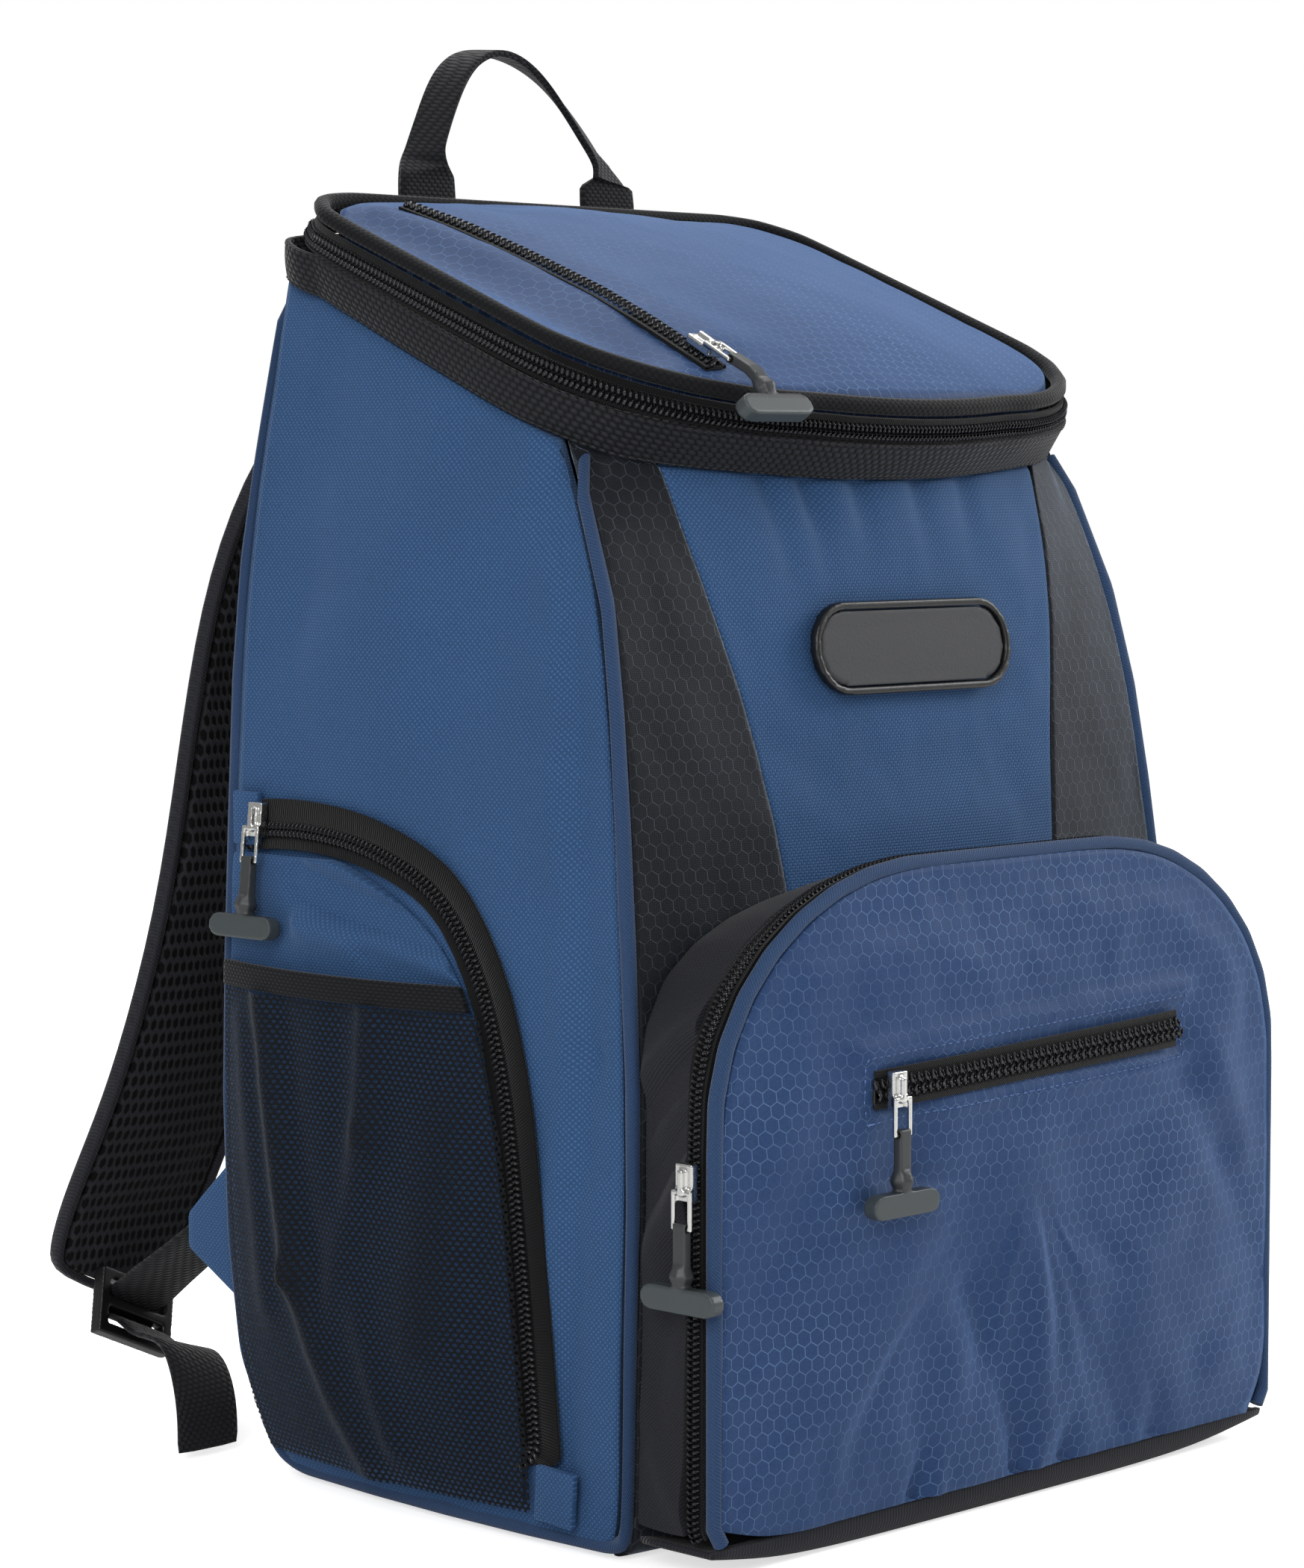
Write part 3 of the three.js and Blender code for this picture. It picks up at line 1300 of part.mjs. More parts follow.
// Plastic frame with two slots at the foot of the strap, in its own frame: X across,
// Y through its thickness, Z along the strap.
function ladderLock() {
  const outline = new THREE.Shape();
  const half = LOCK_WIDTH / 2;
  const long = LOCK_LENGTH / 2;
  outline.moveTo(-half, -long);
  outline.lineTo(half, -long);
  outline.lineTo(half, long);
  outline.lineTo(-half, long);
  for (const sign of [-1, 1]) {
    const slot = new THREE.Path();
    const inner = half - LOCK_BAR;
    const low = sign < 0 ? LOCK_BAR - long : LOCK_BAR / 2;
    const high = sign < 0 ? -LOCK_BAR / 2 : long - LOCK_BAR;
    slot.moveTo(-inner, low);
    slot.lineTo(inner, low);
    slot.lineTo(inner, high);
    slot.lineTo(-inner, high);
    outline.holes.push(slot);
  }
  return new THREE.ExtrudeGeometry(outline, { depth: LOCK_THICKNESS, bevelEnabled: false })
    .rotateX(Math.PI / 2).translate(0, LOCK_THICKNESS / 2, 0);
}

// Navy triangle sewn to the back panel that holds the webbing.
function wing() {
  const outline = new THREE.Shape();
  outline.moveTo(0, WING_FOOT);
  outline.lineTo(WING_REACH, WING_FOOT + WING_HEIGHT * 0.3);
  outline.lineTo(WING_REACH, WING_FOOT + WING_HEIGHT * 0.5);
  outline.lineTo(0, WING_FOOT + WING_HEIGHT);
  const geometry = new THREE.ExtrudeGeometry(outline, {
    depth: WING_THICKNESS, bevelEnabled: false,
  });
  const root = BODY_BACK + GAP;
  const position = geometry.attributes.position;
  for (let i = 0; i < position.count; i += 1) {
    const out = position.getX(i);
    position.setXYZ(i, BODY_HALF_WIDTH - WING_INSET + position.getZ(i), root + out,
      position.getY(i));
  }
  return mirrored(mirrored(geometry));
}

const bag = new THREE.Group();

function add(name, geometry, material) {
  const mesh = new THREE.Mesh(geometry, new THREE.MeshStandardMaterial(material));
  mesh.name = name;
  bag.add(mesh);
  return mesh;
}

function addPair(name, geometry, material) {
  add(`${name}_right`, geometry, material);
  add(`${name}_left`, mirrored(geometry), material);
}

// Slider and pull on a surface: pitched about X, then turned about Z to stand out of it.
function addPull(name, place, turn, pitch, strap) {
  const slide = add(`${name}_slider`, slider(), STEEL);
  const tail = add(`${name}_pull`, pull(strap), RUBBER);
  for (const mesh of [slide, tail]) {
    mesh.position.copy(place);
    mesh.rotation.set(pitch, 0, turn, 'ZYX');
  }
}

addPair('side_panel', sidePanel(), NAVY);
addPair('wedge', wedge(), CHARCOAL_HEX);
add('front_panel', frontPanel(), NAVY);
add('back_panel', backPanel(), BLACK_FABRIC);
add('base_panel', basePanel(), BLACK_FABRIC);
addPair('side_piping', sidePiping(), NAVY);

add('rim_band', rimBand(), BLACK_WEBBING);
add('main_zip', mainZip(), ZIP_TAPE);
add('lid_hinge', lidHinge(), BLACK_FABRIC);
add('lid_piping', lidPiping(), BLACK_FABRIC);
add('lid_panel', lidPanel(), NAVY_HEX);
add('lid_zip', lidZip(), ZIP_TAPE);

add('pocket_front', pocketFront(), NAVY_HEX);
add('pocket_piping', pocketPiping(), NAVY);
add('pocket_zip', pocketZip(), ZIP_TAPE);
add('pocket_gusset', pocketGusset(), BLACK_FABRIC);
add('pocket_base', pocketBase(), BLACK_FABRIC);
add('small_zip', smallZip(), ZIP_TAPE);

add('badge', badge(), RUBBER);
add('badge_rim', badgeRim(), BLACK_FABRIC);

const QUARTER = Math.PI / 2;
const lidEnd = LID_ZIP_ROWS[LID_ZIP_ROWS.length - 1];
const LID_PULL_X = -LID_ZIP_FROM_CENTRE * lidEnd.out;
const LID_PULL_Y = LID_BACK * lidEnd.y + SLIDER_LENGTH / 2;
addPull('lid', crownPoint(LID_PULL_X, LID_PULL_Y, FABRIC + 7 * GAP), 0, -1.08, BENT_STRAP);

const smallX = SLIDER_WIDTH - SMALL_ZIP_HALF_LENGTH;
const smallZ = SMALL_ZIP_HEIGHT + smallX * SMALL_ZIP_TILT;
addPull('small', vector(
  smallX,
  domeDepth(smallX, smallZ) - SMALL_ZIP_THICKNESS - 4 * GAP,
  smallZ,
), 0, 0, STRAIGHT_STRAP);

const gussetFlare = Math.max(bodyAt(GUSSET_SLIDER_HEIGHT).frontHalf / POCKET_HALF_WIDTH, 1);
addPull('gusset', vector(
  (1 - POCKET_HALF_WIDTH) * lerp(1, gussetFlare, 2 * ZIP_DEPTH_SHARE) - 2 * GAP,
  2 * PIPING_RADIUS + POCKET_ZIP_WIDTH / 2 - POCKET_FRONT,
  GUSSET_SLIDER_HEIGHT,
), -QUARTER, 0, STRAIGHT_STRAP);

const sidePull = sideSurface(
  BODY_BACK - SIDE_POCKET_DEPTH * 0.125,
  SIDE_POCKET_HEIGHT - SIDE_TAPE_WIDTH * 0.45,
  SIDE_TAPE_THICKNESS + 4 * GAP,
);
const SIDE_PULL_LEAN = -0.1;
addPull('side_right', sidePull, QUARTER, SIDE_PULL_LEAN, STRAIGHT_STRAP);
addPull('side_left', sidePull.clone().setX(-sidePull.x), -QUARTER, SIDE_PULL_LEAN, STRAIGHT_STRAP);

// Slider of the lid's own zip, closed round to its right rear end.
const MAIN_SLIDER_STEP = HINGE_STEPS + 2;
const MAIN_SLIDER_RISE = (UPPER_RING_LOW + 1) / 2;
const mainOut = ringNormal(MAIN_SLIDER_STEP, MAIN_SLIDER_RISE);
const mainPlace = ringPoint(MAIN_SLIDER_STEP, MAIN_SLIDER_RISE).addScaledVector(mainOut, 2 * GAP);
addPull('main', mainPlace, Math.atan2(mainOut.x, -mainOut.y), -0.1, STRAIGHT_STRAP);

addPair('side_zip', sideZip(), ZIP_TAPE);
addPair('side_pocket_panel', sidePocketPanel(), NAVY);
addPair('side_mesh', sideMesh(), MESH_NET);
addPair('side_binding', sideBinding(), BLACK_FABRIC);

add('carry_handle', handle(), BLACK_WEBBING);
addPair('shoulder_strap', shoulderStrap(), BLACK_FABRIC);
addPair('strap_binding', strapBinding(), BLACK_FABRIC);
addPair('strap_webbing', webbing(), BLACK_WEBBING);
addPair('webbing_wing', wing(), NAVY);
addPair('ladder_lock', ladderLock().applyMatrix4(LOCK_PLACEMENT), PLASTIC);

export default bag;
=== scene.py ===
"""Looks of a soft cooler backpack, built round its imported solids."""

import logging
import math
from contextlib import contextmanager
from dataclasses import dataclass, replace
from enum import Enum
from functools import cache
from typing import Iterator, Sequence

import bmesh
import bpy
import numpy as np
from mathutils import Matrix, Vector, noise
from mathutils.bvhtree import BVHTree
from mathutils.kdtree import KDTree


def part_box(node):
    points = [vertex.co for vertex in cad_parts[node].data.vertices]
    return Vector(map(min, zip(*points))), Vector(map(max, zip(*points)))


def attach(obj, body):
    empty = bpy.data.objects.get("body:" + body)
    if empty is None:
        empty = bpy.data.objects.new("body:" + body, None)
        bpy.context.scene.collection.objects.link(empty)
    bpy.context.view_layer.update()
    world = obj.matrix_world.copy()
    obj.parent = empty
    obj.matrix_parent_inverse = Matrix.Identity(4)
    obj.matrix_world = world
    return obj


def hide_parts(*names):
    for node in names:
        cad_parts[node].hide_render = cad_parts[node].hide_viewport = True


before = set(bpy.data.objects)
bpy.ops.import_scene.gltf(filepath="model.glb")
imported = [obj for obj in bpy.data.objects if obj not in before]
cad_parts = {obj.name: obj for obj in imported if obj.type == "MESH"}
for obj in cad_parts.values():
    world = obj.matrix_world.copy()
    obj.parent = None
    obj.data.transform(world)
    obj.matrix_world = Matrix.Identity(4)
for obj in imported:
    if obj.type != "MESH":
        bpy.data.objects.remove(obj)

MM = 0.001
X_AXIS = Vector((1, 0, 0))
Y_AXIS = Vector((0, 1, 0))
Z_AXIS = Vector((0, 0, 1))
SIDES = (("right", 1), ("left", -1))
CRISP = 0.8
CLOTH_FRAMES = 16
CORD_SIDES = 10
GRAIN_SIDES = (6, 4)
RIM_ANGLE = 0.6
OUTER_GAIN, OUTER_START = 1.6, 0.4
RIPPLE_SCALE, RIPPLE_NOISE = 22, (0.6, 2.0, 3)
# How deep folds make a net opaque and so darker: partly net gathered double there, partly painted
# shade in its creases.
GATHER_AND_SHADE_DEPTH, GATHER_AND_SHADE_START, GATHER_AND_SHADE_MOST = 5, 0.2, 0.7
HELD_UNDER = 1.3
STEP = 3 * MM
FINE_STEP = 2.5 * MM
CLOTH = {"quality": 4, "mass": 0.15, "tension_stiffness": 20, "compression_stiffness": 20,
         "shear_stiffness": 10, "bending_stiffness": 0.4, "use_pressure": True}
LOG = logging.getLogger("backpack")
Object, Socket = bpy.types.Object, bpy.types.NodeSocket


def linear(code: str) -> tuple[float, float, float, float]:
    """Scene colour of an sRGB code.

    Args:
        code: six hexadecimal digits.

    Returns:
        Linear red, green, blue and alpha.
    """
    parts = [int(code[i:i + 2], 16) / 255 for i in (0, 2, 4)]
    red, green, blue = (
        part / 12.92 if part <= 0.04045 else ((part + 0.055) / 1.055) ** 2.4 for part in parts
    )
    return red, green, blue, 1.0


class Graph:
    """Wires the nodes of one shader tree."""

    def __init__(self, tree: bpy.types.NodeTree) -> None:
        """Args: tree: the tree that gets the nodes."""
        self.tree = tree

    def node(self, kind: str, *values: object, **settings: object) -> bpy.types.Node:
        """Adds a node.

        Args:
            kind: the node's type without its ShaderNode prefix.
            values: what its first inputs get, numbers or sockets.
            settings: properties of the node.

        Returns:
            The node.
        """
        made = self.tree.nodes.new(f"ShaderNode{kind}")
        for key, value in settings.items():
            setattr(made, key, value)
        for socket, value in zip(made.inputs, values):
            self.feed(socket, value)
        return made

    def feed(self, socket: Socket, value: object) -> None:
        """Links a socket to an input, or sets the input's constant."""
        if isinstance(value, Socket):
            self.tree.links.new(value, socket)
        else:
            socket.default_value = value

    def math(self, operation: str, *values: object) -> Socket:
        """Result of a Math node on numbers or sockets."""
        return self.node("Math", *values, operation=operation).outputs[0]

    def vector(self, operation: str, *values: object) -> Socket:
        """Result of a Vector Math node on vectors or sockets."""
        made = self.node("VectorMath", *values, operation=operation)
        return made.outputs["Value" if operation in ("DOT_PRODUCT", "LENGTH") else "Vector"]

    def ramp(self, value: object, low: float, high: float, start: float, end: float) -> object:
        """Value carried from the range low to high over to the range start to end."""
        return self.node("MapRange", value, low, high, start, end).outputs[0]

    def blend(self, share: object, first: object, second: object) -> Socket:
        """Colour between two colours."""
        made = self.node("Mix", data_type="RGBA")
        for socket, value in zip((made.inputs[0], made.inputs[6], made.inputs[7]),
                                 (share, first, second)):
            self.feed(socket, value)
        return made.outputs[2]

    def scaled(self, value: object, factor: object) -> Socket:
        """Vector or colour times a number."""
        made = self.node("VectorMath", value, operation="SCALE")
        self.feed(made.inputs["Scale"], factor)
        return made.outputs["Vector"]

    def split(self, value: Socket) -> bpy.types.bpy_prop_collection:
        """The three numbers of a vector."""
        return self.node("SeparateXYZ", value).outputs

    def hump(self, count: object) -> Socket:
        """Half a wave over each whole step of a count."""
        return self.math("SINE", self.math("MULTIPLY", self.math("FRACT", count), math.pi))

    def group(self, tree: bpy.types.NodeTree, place: Socket,
              **values: float) -> bpy.types.Node:
        """Puts a shared group in with its own values."""
        made = self.node("Group", place, node_tree=tree)
        for key, value in values.items():
            made.inputs[key].default_value = value
        return made

    def surface(self, shader: bpy.types.Node, colour: object, shade: bpy.types.Node,
                rough: tuple[float, float], height: object, depth: float) -> None:
        """Wires the colour, the roughness and the bump of a material.

        Args:
            shader: its Principled shader.
            colour: its colour before the unevenness.
            shade: its unevenness.
            rough: its roughness, and how far that varies.
            height: its height, from 0 to 1.
            depth: the depth of that height, in metres.
        """
        self.feed(shader.inputs["Base Color"], self.scaled(colour, shade.outputs["Shade"]))
        middle, spread = rough
        self.feed(shader.inputs["Roughness"], self.ramp(
            shade.outputs["Fuzz"], -0.5, 0.5, middle - spread, middle + spread))
        bump = self.node("Bump")
        bump.inputs["Distance"].default_value = depth
        self.feed(bump.inputs["Height"], height)
        self.feed(shader.inputs["Normal"], bump.outputs["Normal"])


class ShaderGroups:
    """Node groups that several materials share, each made once."""

    @staticmethod
    def start(name: str, numbers: Sequence[tuple[str, float]],
              outputs: Sequence[str]) -> tuple[Graph, bpy.types.Node, bpy.types.Node]:
        """Opens a group with a vector input.

        Args:
            name: the group's name.
            numbers: names and defaults of its number inputs.
            outputs: names of its number outputs.

        Returns:
            The graph, its input node and its output node.
        """
        tree = bpy.data.node_groups.new(name, "ShaderNodeTree")
        tree.interface.new_socket("Vector", in_out="INPUT", socket_type="NodeSocketVector")
        for label, default in numbers:
            made = tree.interface.new_socket(label, in_out="INPUT", socket_type="NodeSocketFloat")
            made.default_value = default
        for label in outputs:
            tree.interface.new_socket(label, in_out="OUTPUT", socket_type="NodeSocketFloat")
        return Graph(tree), tree.nodes.new("NodeGroupInput"), tree.nodes.new("NodeGroupOutput")

    @cache
    def hexagons(self) -> bpy.types.NodeTree:
        """Honeycomb: a thread mask on the cell borders and the distance from the middles."""
        graph, given, result = self.start(
            "hexagons", [("Cell", 0.006), ("Line", 0.1)], ["Line", "Distance"])
        tall = math.sqrt(3)
        flat = graph.vector("MULTIPLY", given.outputs["Vector"], (1, 1, 0))
        place = graph.scaled(flat, graph.math("DIVIDE", 1.0, given.outputs["Cell"]))
        high, low = (0.5, tall / 2, 1), (-0.5, -tall / 2, -1)
        first = graph.vector("WRAP", place, high, low)
        moved = graph.vector("SUBTRACT", place, (0.5, tall / 2, 0))
        second = graph.vector("WRAP", moved, high, low)
        nearer = graph.math("LESS_THAN", graph.vector("LENGTH", second),
                            graph.vector("LENGTH", first))
        pick = graph.node("Mix", data_type="VECTOR")
        for socket, value in zip((pick.inputs[0], pick.inputs[4], pick.inputs[5]),
                                 (nearer, first, second)):
            graph.feed(socket, value)
        corner = graph.vector("ABSOLUTE", pick.outputs[1])
        slanted = graph.vector("DOT_PRODUCT", corner, (0.5, tall / 2, 0))
        level = graph.vector("DOT_PRODUCT", corner, (1, 0, 0))
        reach = graph.math("MAXIMUM", slanted, level)
        border = graph.math("SUBTRACT", 0.5, reach)
        share = graph.math("DIVIDE", border, given.outputs["Line"])
        graph.feed(result.inputs["Line"], graph.math("SUBTRACT", 1.0, graph.math(
            "MINIMUM", share, 1.0)))
        graph.feed(result.inputs["Distance"], reach)
        return graph.tree

    @cache
    def weave(self) -> bpy.types.NodeTree:
        """Plain weave: the height of its crossings and which thread lies on top."""
        graph, given, result = self.start("weave", [("Period", 0.001)], ["Height", "Over"])
        split = graph.split(given.outputs["Vector"])
        counts = [graph.math("DIVIDE", split[i], given.outputs["Period"]) for i in (0, 1)]
        humps = [graph.hump(count) for count in counts]
        floors = [graph.math("FLOOR", count) for count in counts]
        total = graph.math("ADD", *floors)
        graph.feed(result.inputs["Height"], graph.math("MULTIPLY", *humps))
        graph.feed(result.inputs["Over"], graph.math("PINGPONG", total, 1.0))
        return graph.tree

    @cache
    def twill(self) -> bpy.types.NodeTree:
        """Twill: slanting ridges crossed by fine threads."""
        graph, given, result = self.start("twill", [("Period", 0.001)], ["Height"])
        split = graph.split(given.outputs["Vector"])
        slant = graph.math("ADD", split[0], split[1])
        count = graph.math("DIVIDE", slant, given.outputs["Period"])
        ridge = graph.math("MULTIPLY", graph.math("PINGPONG", count, 0.5), 2.0)
        thread = graph.math("DIVIDE", split[0], given.outputs["Period"])
        fine = graph.math("PINGPONG", graph.math("MULTIPLY", thread, 2.0), 0.5)
        graph.feed(result.inputs["Height"], graph.math("ADD", ridge, fine))
        return graph.tree

    @cache
    def ribs(self) -> bpy.types.NodeTree:
        """Webbing: ribs across its length, broken by the threads along it."""
        graph, given, result = self.start("ribs", [("Period", 0.001), ("Break", 1.0)], ["Height"])
        split = graph.split(given.outputs["Vector"])
        rows = graph.math("DIVIDE", split[1], given.outputs["Period"])
        shift = graph.math("MULTIPLY", graph.math("PINGPONG", graph.math("FLOOR", rows), 1.0), 0.5)
        along = graph.math("DIVIDE", split[0], given.outputs["Period"])
        count = graph.math("ADD", graph.math("MULTIPLY", along, 0.5), shift)
        broken = graph.math("MULTIPLY", graph.hump(rows), given.outputs["Break"])
        plain = graph.math("SUBTRACT", 1.0, given.outputs["Break"])
        graph.feed(result.inputs["Height"], graph.math("MULTIPLY", graph.hump(count), graph.math(
            "ADD", broken, plain)))
        return graph.tree

    @cache
    def mottle(self) -> bpy.types.NodeTree:
        """Unevenness: broad patches and fine fuzz, both about one."""
        graph, given, result = self.start(
            "mottle", [("Broad", 0.1), ("Fine", 0.1)], ["Shade", "Fuzz"])
        shades = []
        for scale, detail in ((18.0, 3.0), (1400.0, 1.0)):
            made = graph.node("TexNoise", given.outputs["Vector"])
            made.inputs["Scale"].default_value = scale
            made.inputs["Detail"].default_value = detail
            shades.append(graph.math("SUBTRACT", made.outputs["Fac"], 0.5))
        broad = graph.math("MULTIPLY", shades[0], given.outputs["Broad"])
        fine = graph.math("MULTIPLY", shades[1], given.outputs["Fine"])
        graph.feed(result.inputs["Shade"], graph.math("ADD", 1.0, graph.math("ADD", broad, fine)))
        graph.feed(result.inputs["Fuzz"], shades[1])
        return graph.tree


GROUPS = ShaderGroups()


def painted(name: str,
            **inputs: object) -> tuple[bpy.types.Material, Graph, bpy.types.Node]:
    """New material.

    Args:
        name: its name.
        inputs: values for its shader, with underlines for the spaces in their names.

    Returns:
        The material, its graph and its Principled shader.
    """
    made = bpy.data.materials.new(name)
    made.use_nodes = True
    shader = made.node_tree.nodes["Principled BSDF"]
    for key, value in inputs.items():
        shader.inputs[key.replace("_", " ")].default_value = value
    return made, Graph(made.node_tree), shader


class Pattern(Enum):
    """What a cloth's threads draw."""

    PLAIN = "plain"
    HEXAGONS = "hexagons"
    TWILL = "twill"
    RIBS = "ribs"
    NET = "net"
    SPACER = "spacer"


class Plane(Enum):
    """Where a pattern lies: flat on a side of the bag, or along a strip."""

    SIDE = "side"
    FRONT = "front"
    LID = "lid"
    STRIP = "strip"


LID_TURN = 0.38
PLANE_ROWS = {
    Plane.SIDE: ((0, 1, 0), (0, 0, 1), (1, 0, 0)),
    Plane.FRONT: ((1, 0, 0), (0, 0, 1), (0, -1, 0)),
    Plane.LID: tuple(tuple(row) for row in Matrix.Rotation(-LID_TURN, 3, "X")),
    Plane.STRIP: ((1, 0, 0), (0, 1, 0), (0, 0, 1)),
}


@dataclass(frozen=True)
class Fabric:
    """A woven or knitted finish.

    cell is the size of the pattern's repeat in metres, line the share of a cell that its
    border thread takes, bump the height of the threads in metres.
    """

    name: str
    slot: str
    pattern: Pattern
    base: str
    thread: str
    cell: float
    roughness: float = 0.7
    bump: float = 0.00015
    sheen: float = 0.15
    tint: str = "ffffff"
    line: float = 0.1
    stretch: float = 1.0
    broad: float = 0.25
    fine: float = 0.5
    uneven: float = 0.08
    sheen_roughness: float = 0.35
    specular: float = 0.12
    wear: float = 26.0

    @cache
    def material(self, plane: Plane) -> bpy.types.Material:
        """Material of this cloth laid on a plane.

        Args:
            plane: where the pattern lies.

        Returns:
            The material, made on its first use.
        """
        made, graph, shader = painted(
            f"{self.name}_cloth_{plane.value}", Sheen_Weight=self.sheen,
            Sheen_Roughness=self.sheen_roughness, Sheen_Tint=linear(self.tint),
            Specular_IOR_Level=self.specular)
        place = self.place(graph, plane)
        shade = graph.group(GROUPS.mottle(), place, Broad=self.broad, Fine=self.fine)
        mask, height = self.threads(graph, place, shader)
        colour = graph.blend(mask, linear(self.base), linear(self.thread))
        graph.surface(shader, colour, shade, (self.roughness, self.uneven), height, self.bump)
        return made

    def place(self, graph: Graph, plane: Plane) -> Socket:
        """Pattern coordinates in metres on the plane."""
        source = graph.node("TexCoord").outputs["UV" if plane is Plane.STRIP else "Object"]
        mapping = graph.node("Mapping", source)
        mapping.inputs["Rotation"].default_value = Matrix(PLANE_ROWS[plane]).to_euler("XYZ")
        return mapping.outputs["Vector"]

    def threads(self, graph: Graph, place: Socket,
                shader: bpy.types.Node) -> tuple[Socket, Socket]:
        """Wires the pattern.

        Args:
            graph: the material's graph.
            place: pattern coordinates.
            shader: the Principled shader, whose alpha a net drives.

        Returns:
            The mask of the second colour, and the height for the bump.
        """
        if self.pattern is Pattern.PLAIN:
            weave = graph.group(GROUPS.weave(), place, Period=self.cell)
            mask = graph.math("MULTIPLY", weave.outputs["Over"], weave.outputs["Height"])
            return mask, weave.outputs["Height"]
        if self.pattern is Pattern.HEXAGONS:
            cells = graph.group(GROUPS.hexagons(), place, Cell=self.cell, Line=self.line)
            weave = graph.group(GROUPS.weave(), place, Period=self.cell / 7)
            raised = graph.math("MULTIPLY", weave.outputs["Height"], 0.5)
            worn = graph.node("TexNoise", place)
            worn.inputs["Scale"].default_value = self.wear
            shown = graph.ramp(worn.outputs["Fac"], 0.35, 0.65, 0.35, 1.0)
            mask = graph.math("MULTIPLY", cells.outputs["Line"], shown)
            return mask, graph.math("ADD", cells.outputs["Line"], raised)
        if self.pattern is Pattern.TWILL:
            twill = graph.group(GROUPS.twill(), place, Period=self.cell)
            return graph.math("MULTIPLY", twill.outputs["Height"], 0.5), twill.outputs["Height"]
        if self.pattern is Pattern.RIBS:
            ribs = graph.group(GROUPS.ribs(), place, Period=self.cell, Break=self.line)
            return ribs.outputs["Height"], ribs.outputs["Height"]
        drawn = graph.vector("MULTIPLY", place, (1, 1 / self.stretch, 1))
        cells = graph.group(GROUPS.hexagons(), drawn, Cell=self.cell, Line=self.line)
        bars = graph.ramp(cells.outputs["Distance"], 0.5 - self.line - 0.1, 0.5 - self.line, 0, 1)
        if self.pattern is Pattern.NET:
            # The net is drawn more opaque in deep folds: partly gathered net, partly painted shade
            # in the creases.
            gathered_and_shade = graph.node("Attribute", attribute_name="gathered_and_shade").outputs["Fac"]
            graph.feed(shader.inputs["Alpha"], graph.math("MAXIMUM", bars, gathered_and_shade))
        return bars, bars


@dataclass(frozen=True)
class Moulded:
    """A cast or moulded finish with a fine grain."""

    name: str
    slot: str
    base: str
    roughness: float
    metallic: float = 0.0
    grain: float = 0.00003
    uneven: float = 0.1

    @cache
    def material(self, plane: Plane) -> bpy.types.Material:
        """Material of this finish.

        Args:
            plane: taken for likeness with cloth, and of no effect on a grain.

        Returns:
            The material, made on its first use.
        """
        made, graph, shader = painted(f"{self.name}_moulded", Metallic=self.metallic)
        place = graph.node("TexCoord").outputs["Object"]
        shade = graph.group(GROUPS.mottle(), place, Broad=0.2, Fine=0.25)
        graph.surface(shader, linear(self.base)[:3], shade, (self.roughness, self.uneven),
                      shade.outputs["Fuzz"], self.grain)
        return made


Finish = Fabric | Moulded

NAVY_WEAVE = Fabric("navy_weave", "navy_weave", Pattern.PLAIN, "2e4a6f", "426490", 0.0009,
                     sheen=0.3, tint="9ab9e6")
NAVY_HEX = Fabric("navy_hex", "navy_hex", Pattern.HEXAGONS, "2a4066", "5a769c", 0.0047,
                  roughness=0.5, bump=0.0001, sheen=0.5, tint="8fb6f2", line=0.045)
CHARCOAL_HEX = Fabric("charcoal_hex", "charcoal_hex", Pattern.HEXAGONS, "191b1f", "3a3e45", 0.0047,
                      roughness=0.5, bump=0.0001, sheen=0.8, tint="b4c2d6", line=0.045)
BLACK_TWILL = Fabric("black_twill", "black_fabric", Pattern.TWILL, "191a1e", "303137", 0.0013,
                     roughness=0.55, sheen=0.1)
BLACK_BINDING = Fabric("black_binding", "black_fabric", Pattern.RIBS, "08090a", "151619", 0.0012,
                       roughness=0.7, line=0.4)
NAVY_BINDING = Fabric("navy_binding", "navy_weave", Pattern.TWILL, "233652", "3c557c", 0.0011)
COARSE_WEBBING = Fabric("coarse_webbing", "black_webbing", Pattern.RIBS, "090a0b", "292a2f",
                        0.0016, roughness=0.6, bump=0.0004, line=0.9)
FINE_WEBBING = Fabric("fine_webbing", "black_webbing", Pattern.RIBS, "0a0b0c", "232428",
                      0.0013, roughness=0.65, bump=0.0003, line=0.6)
ELASTIC = Fabric("elastic", "black_fabric", Pattern.RIBS, "0d0e10", "212226", 0.0011,
                 roughness=0.75, bump=0.0002, line=1.0)
ZIP_TAPE = Fabric("zip_tape", "zip_tape", Pattern.TWILL, "070708", "151618", 0.0009)
MESH_NET = Fabric("mesh_net", "mesh_net", Pattern.NET, "14171b", "101216", 0.0024,
                  roughness=0.75, sheen=0.1, line=0.16, stretch=0.75)
AIR_MESH = Fabric("air_mesh", "air_mesh", Pattern.SPACER, "060607", "26272b", 0.0027,
                  roughness=0.8, bump=0.0009, sheen=0.05, line=0.13, stretch=2.1)
COIL = Moulded("coil", "zip_tape", "2c2d30", 0.26)
THREAD_NAVY = Moulded("thread_navy", "navy_weave", "5f7fb8", 0.6)
THREAD_BLACK = Moulded("thread_black", "black_fabric", "2c2d31", 0.6)
NICKEL = Moulded("nickel", "steel", "d2d2cf", 0.22, metallic=1.0)
GREY_RUBBER = Moulded("grey_rubber", "grey_rubber", "2e3133", 0.45)
PALE_RUBBER = Moulded("pale_rubber", "grey_rubber", "373e40", 0.42)
BADGE_RUBBER = Moulded("badge_rubber", "badge_grey", "232529", 0.55)
BLACK_PLASTIC = Moulded("black_plastic", "black_plastic", "0c0d0e", 0.4)


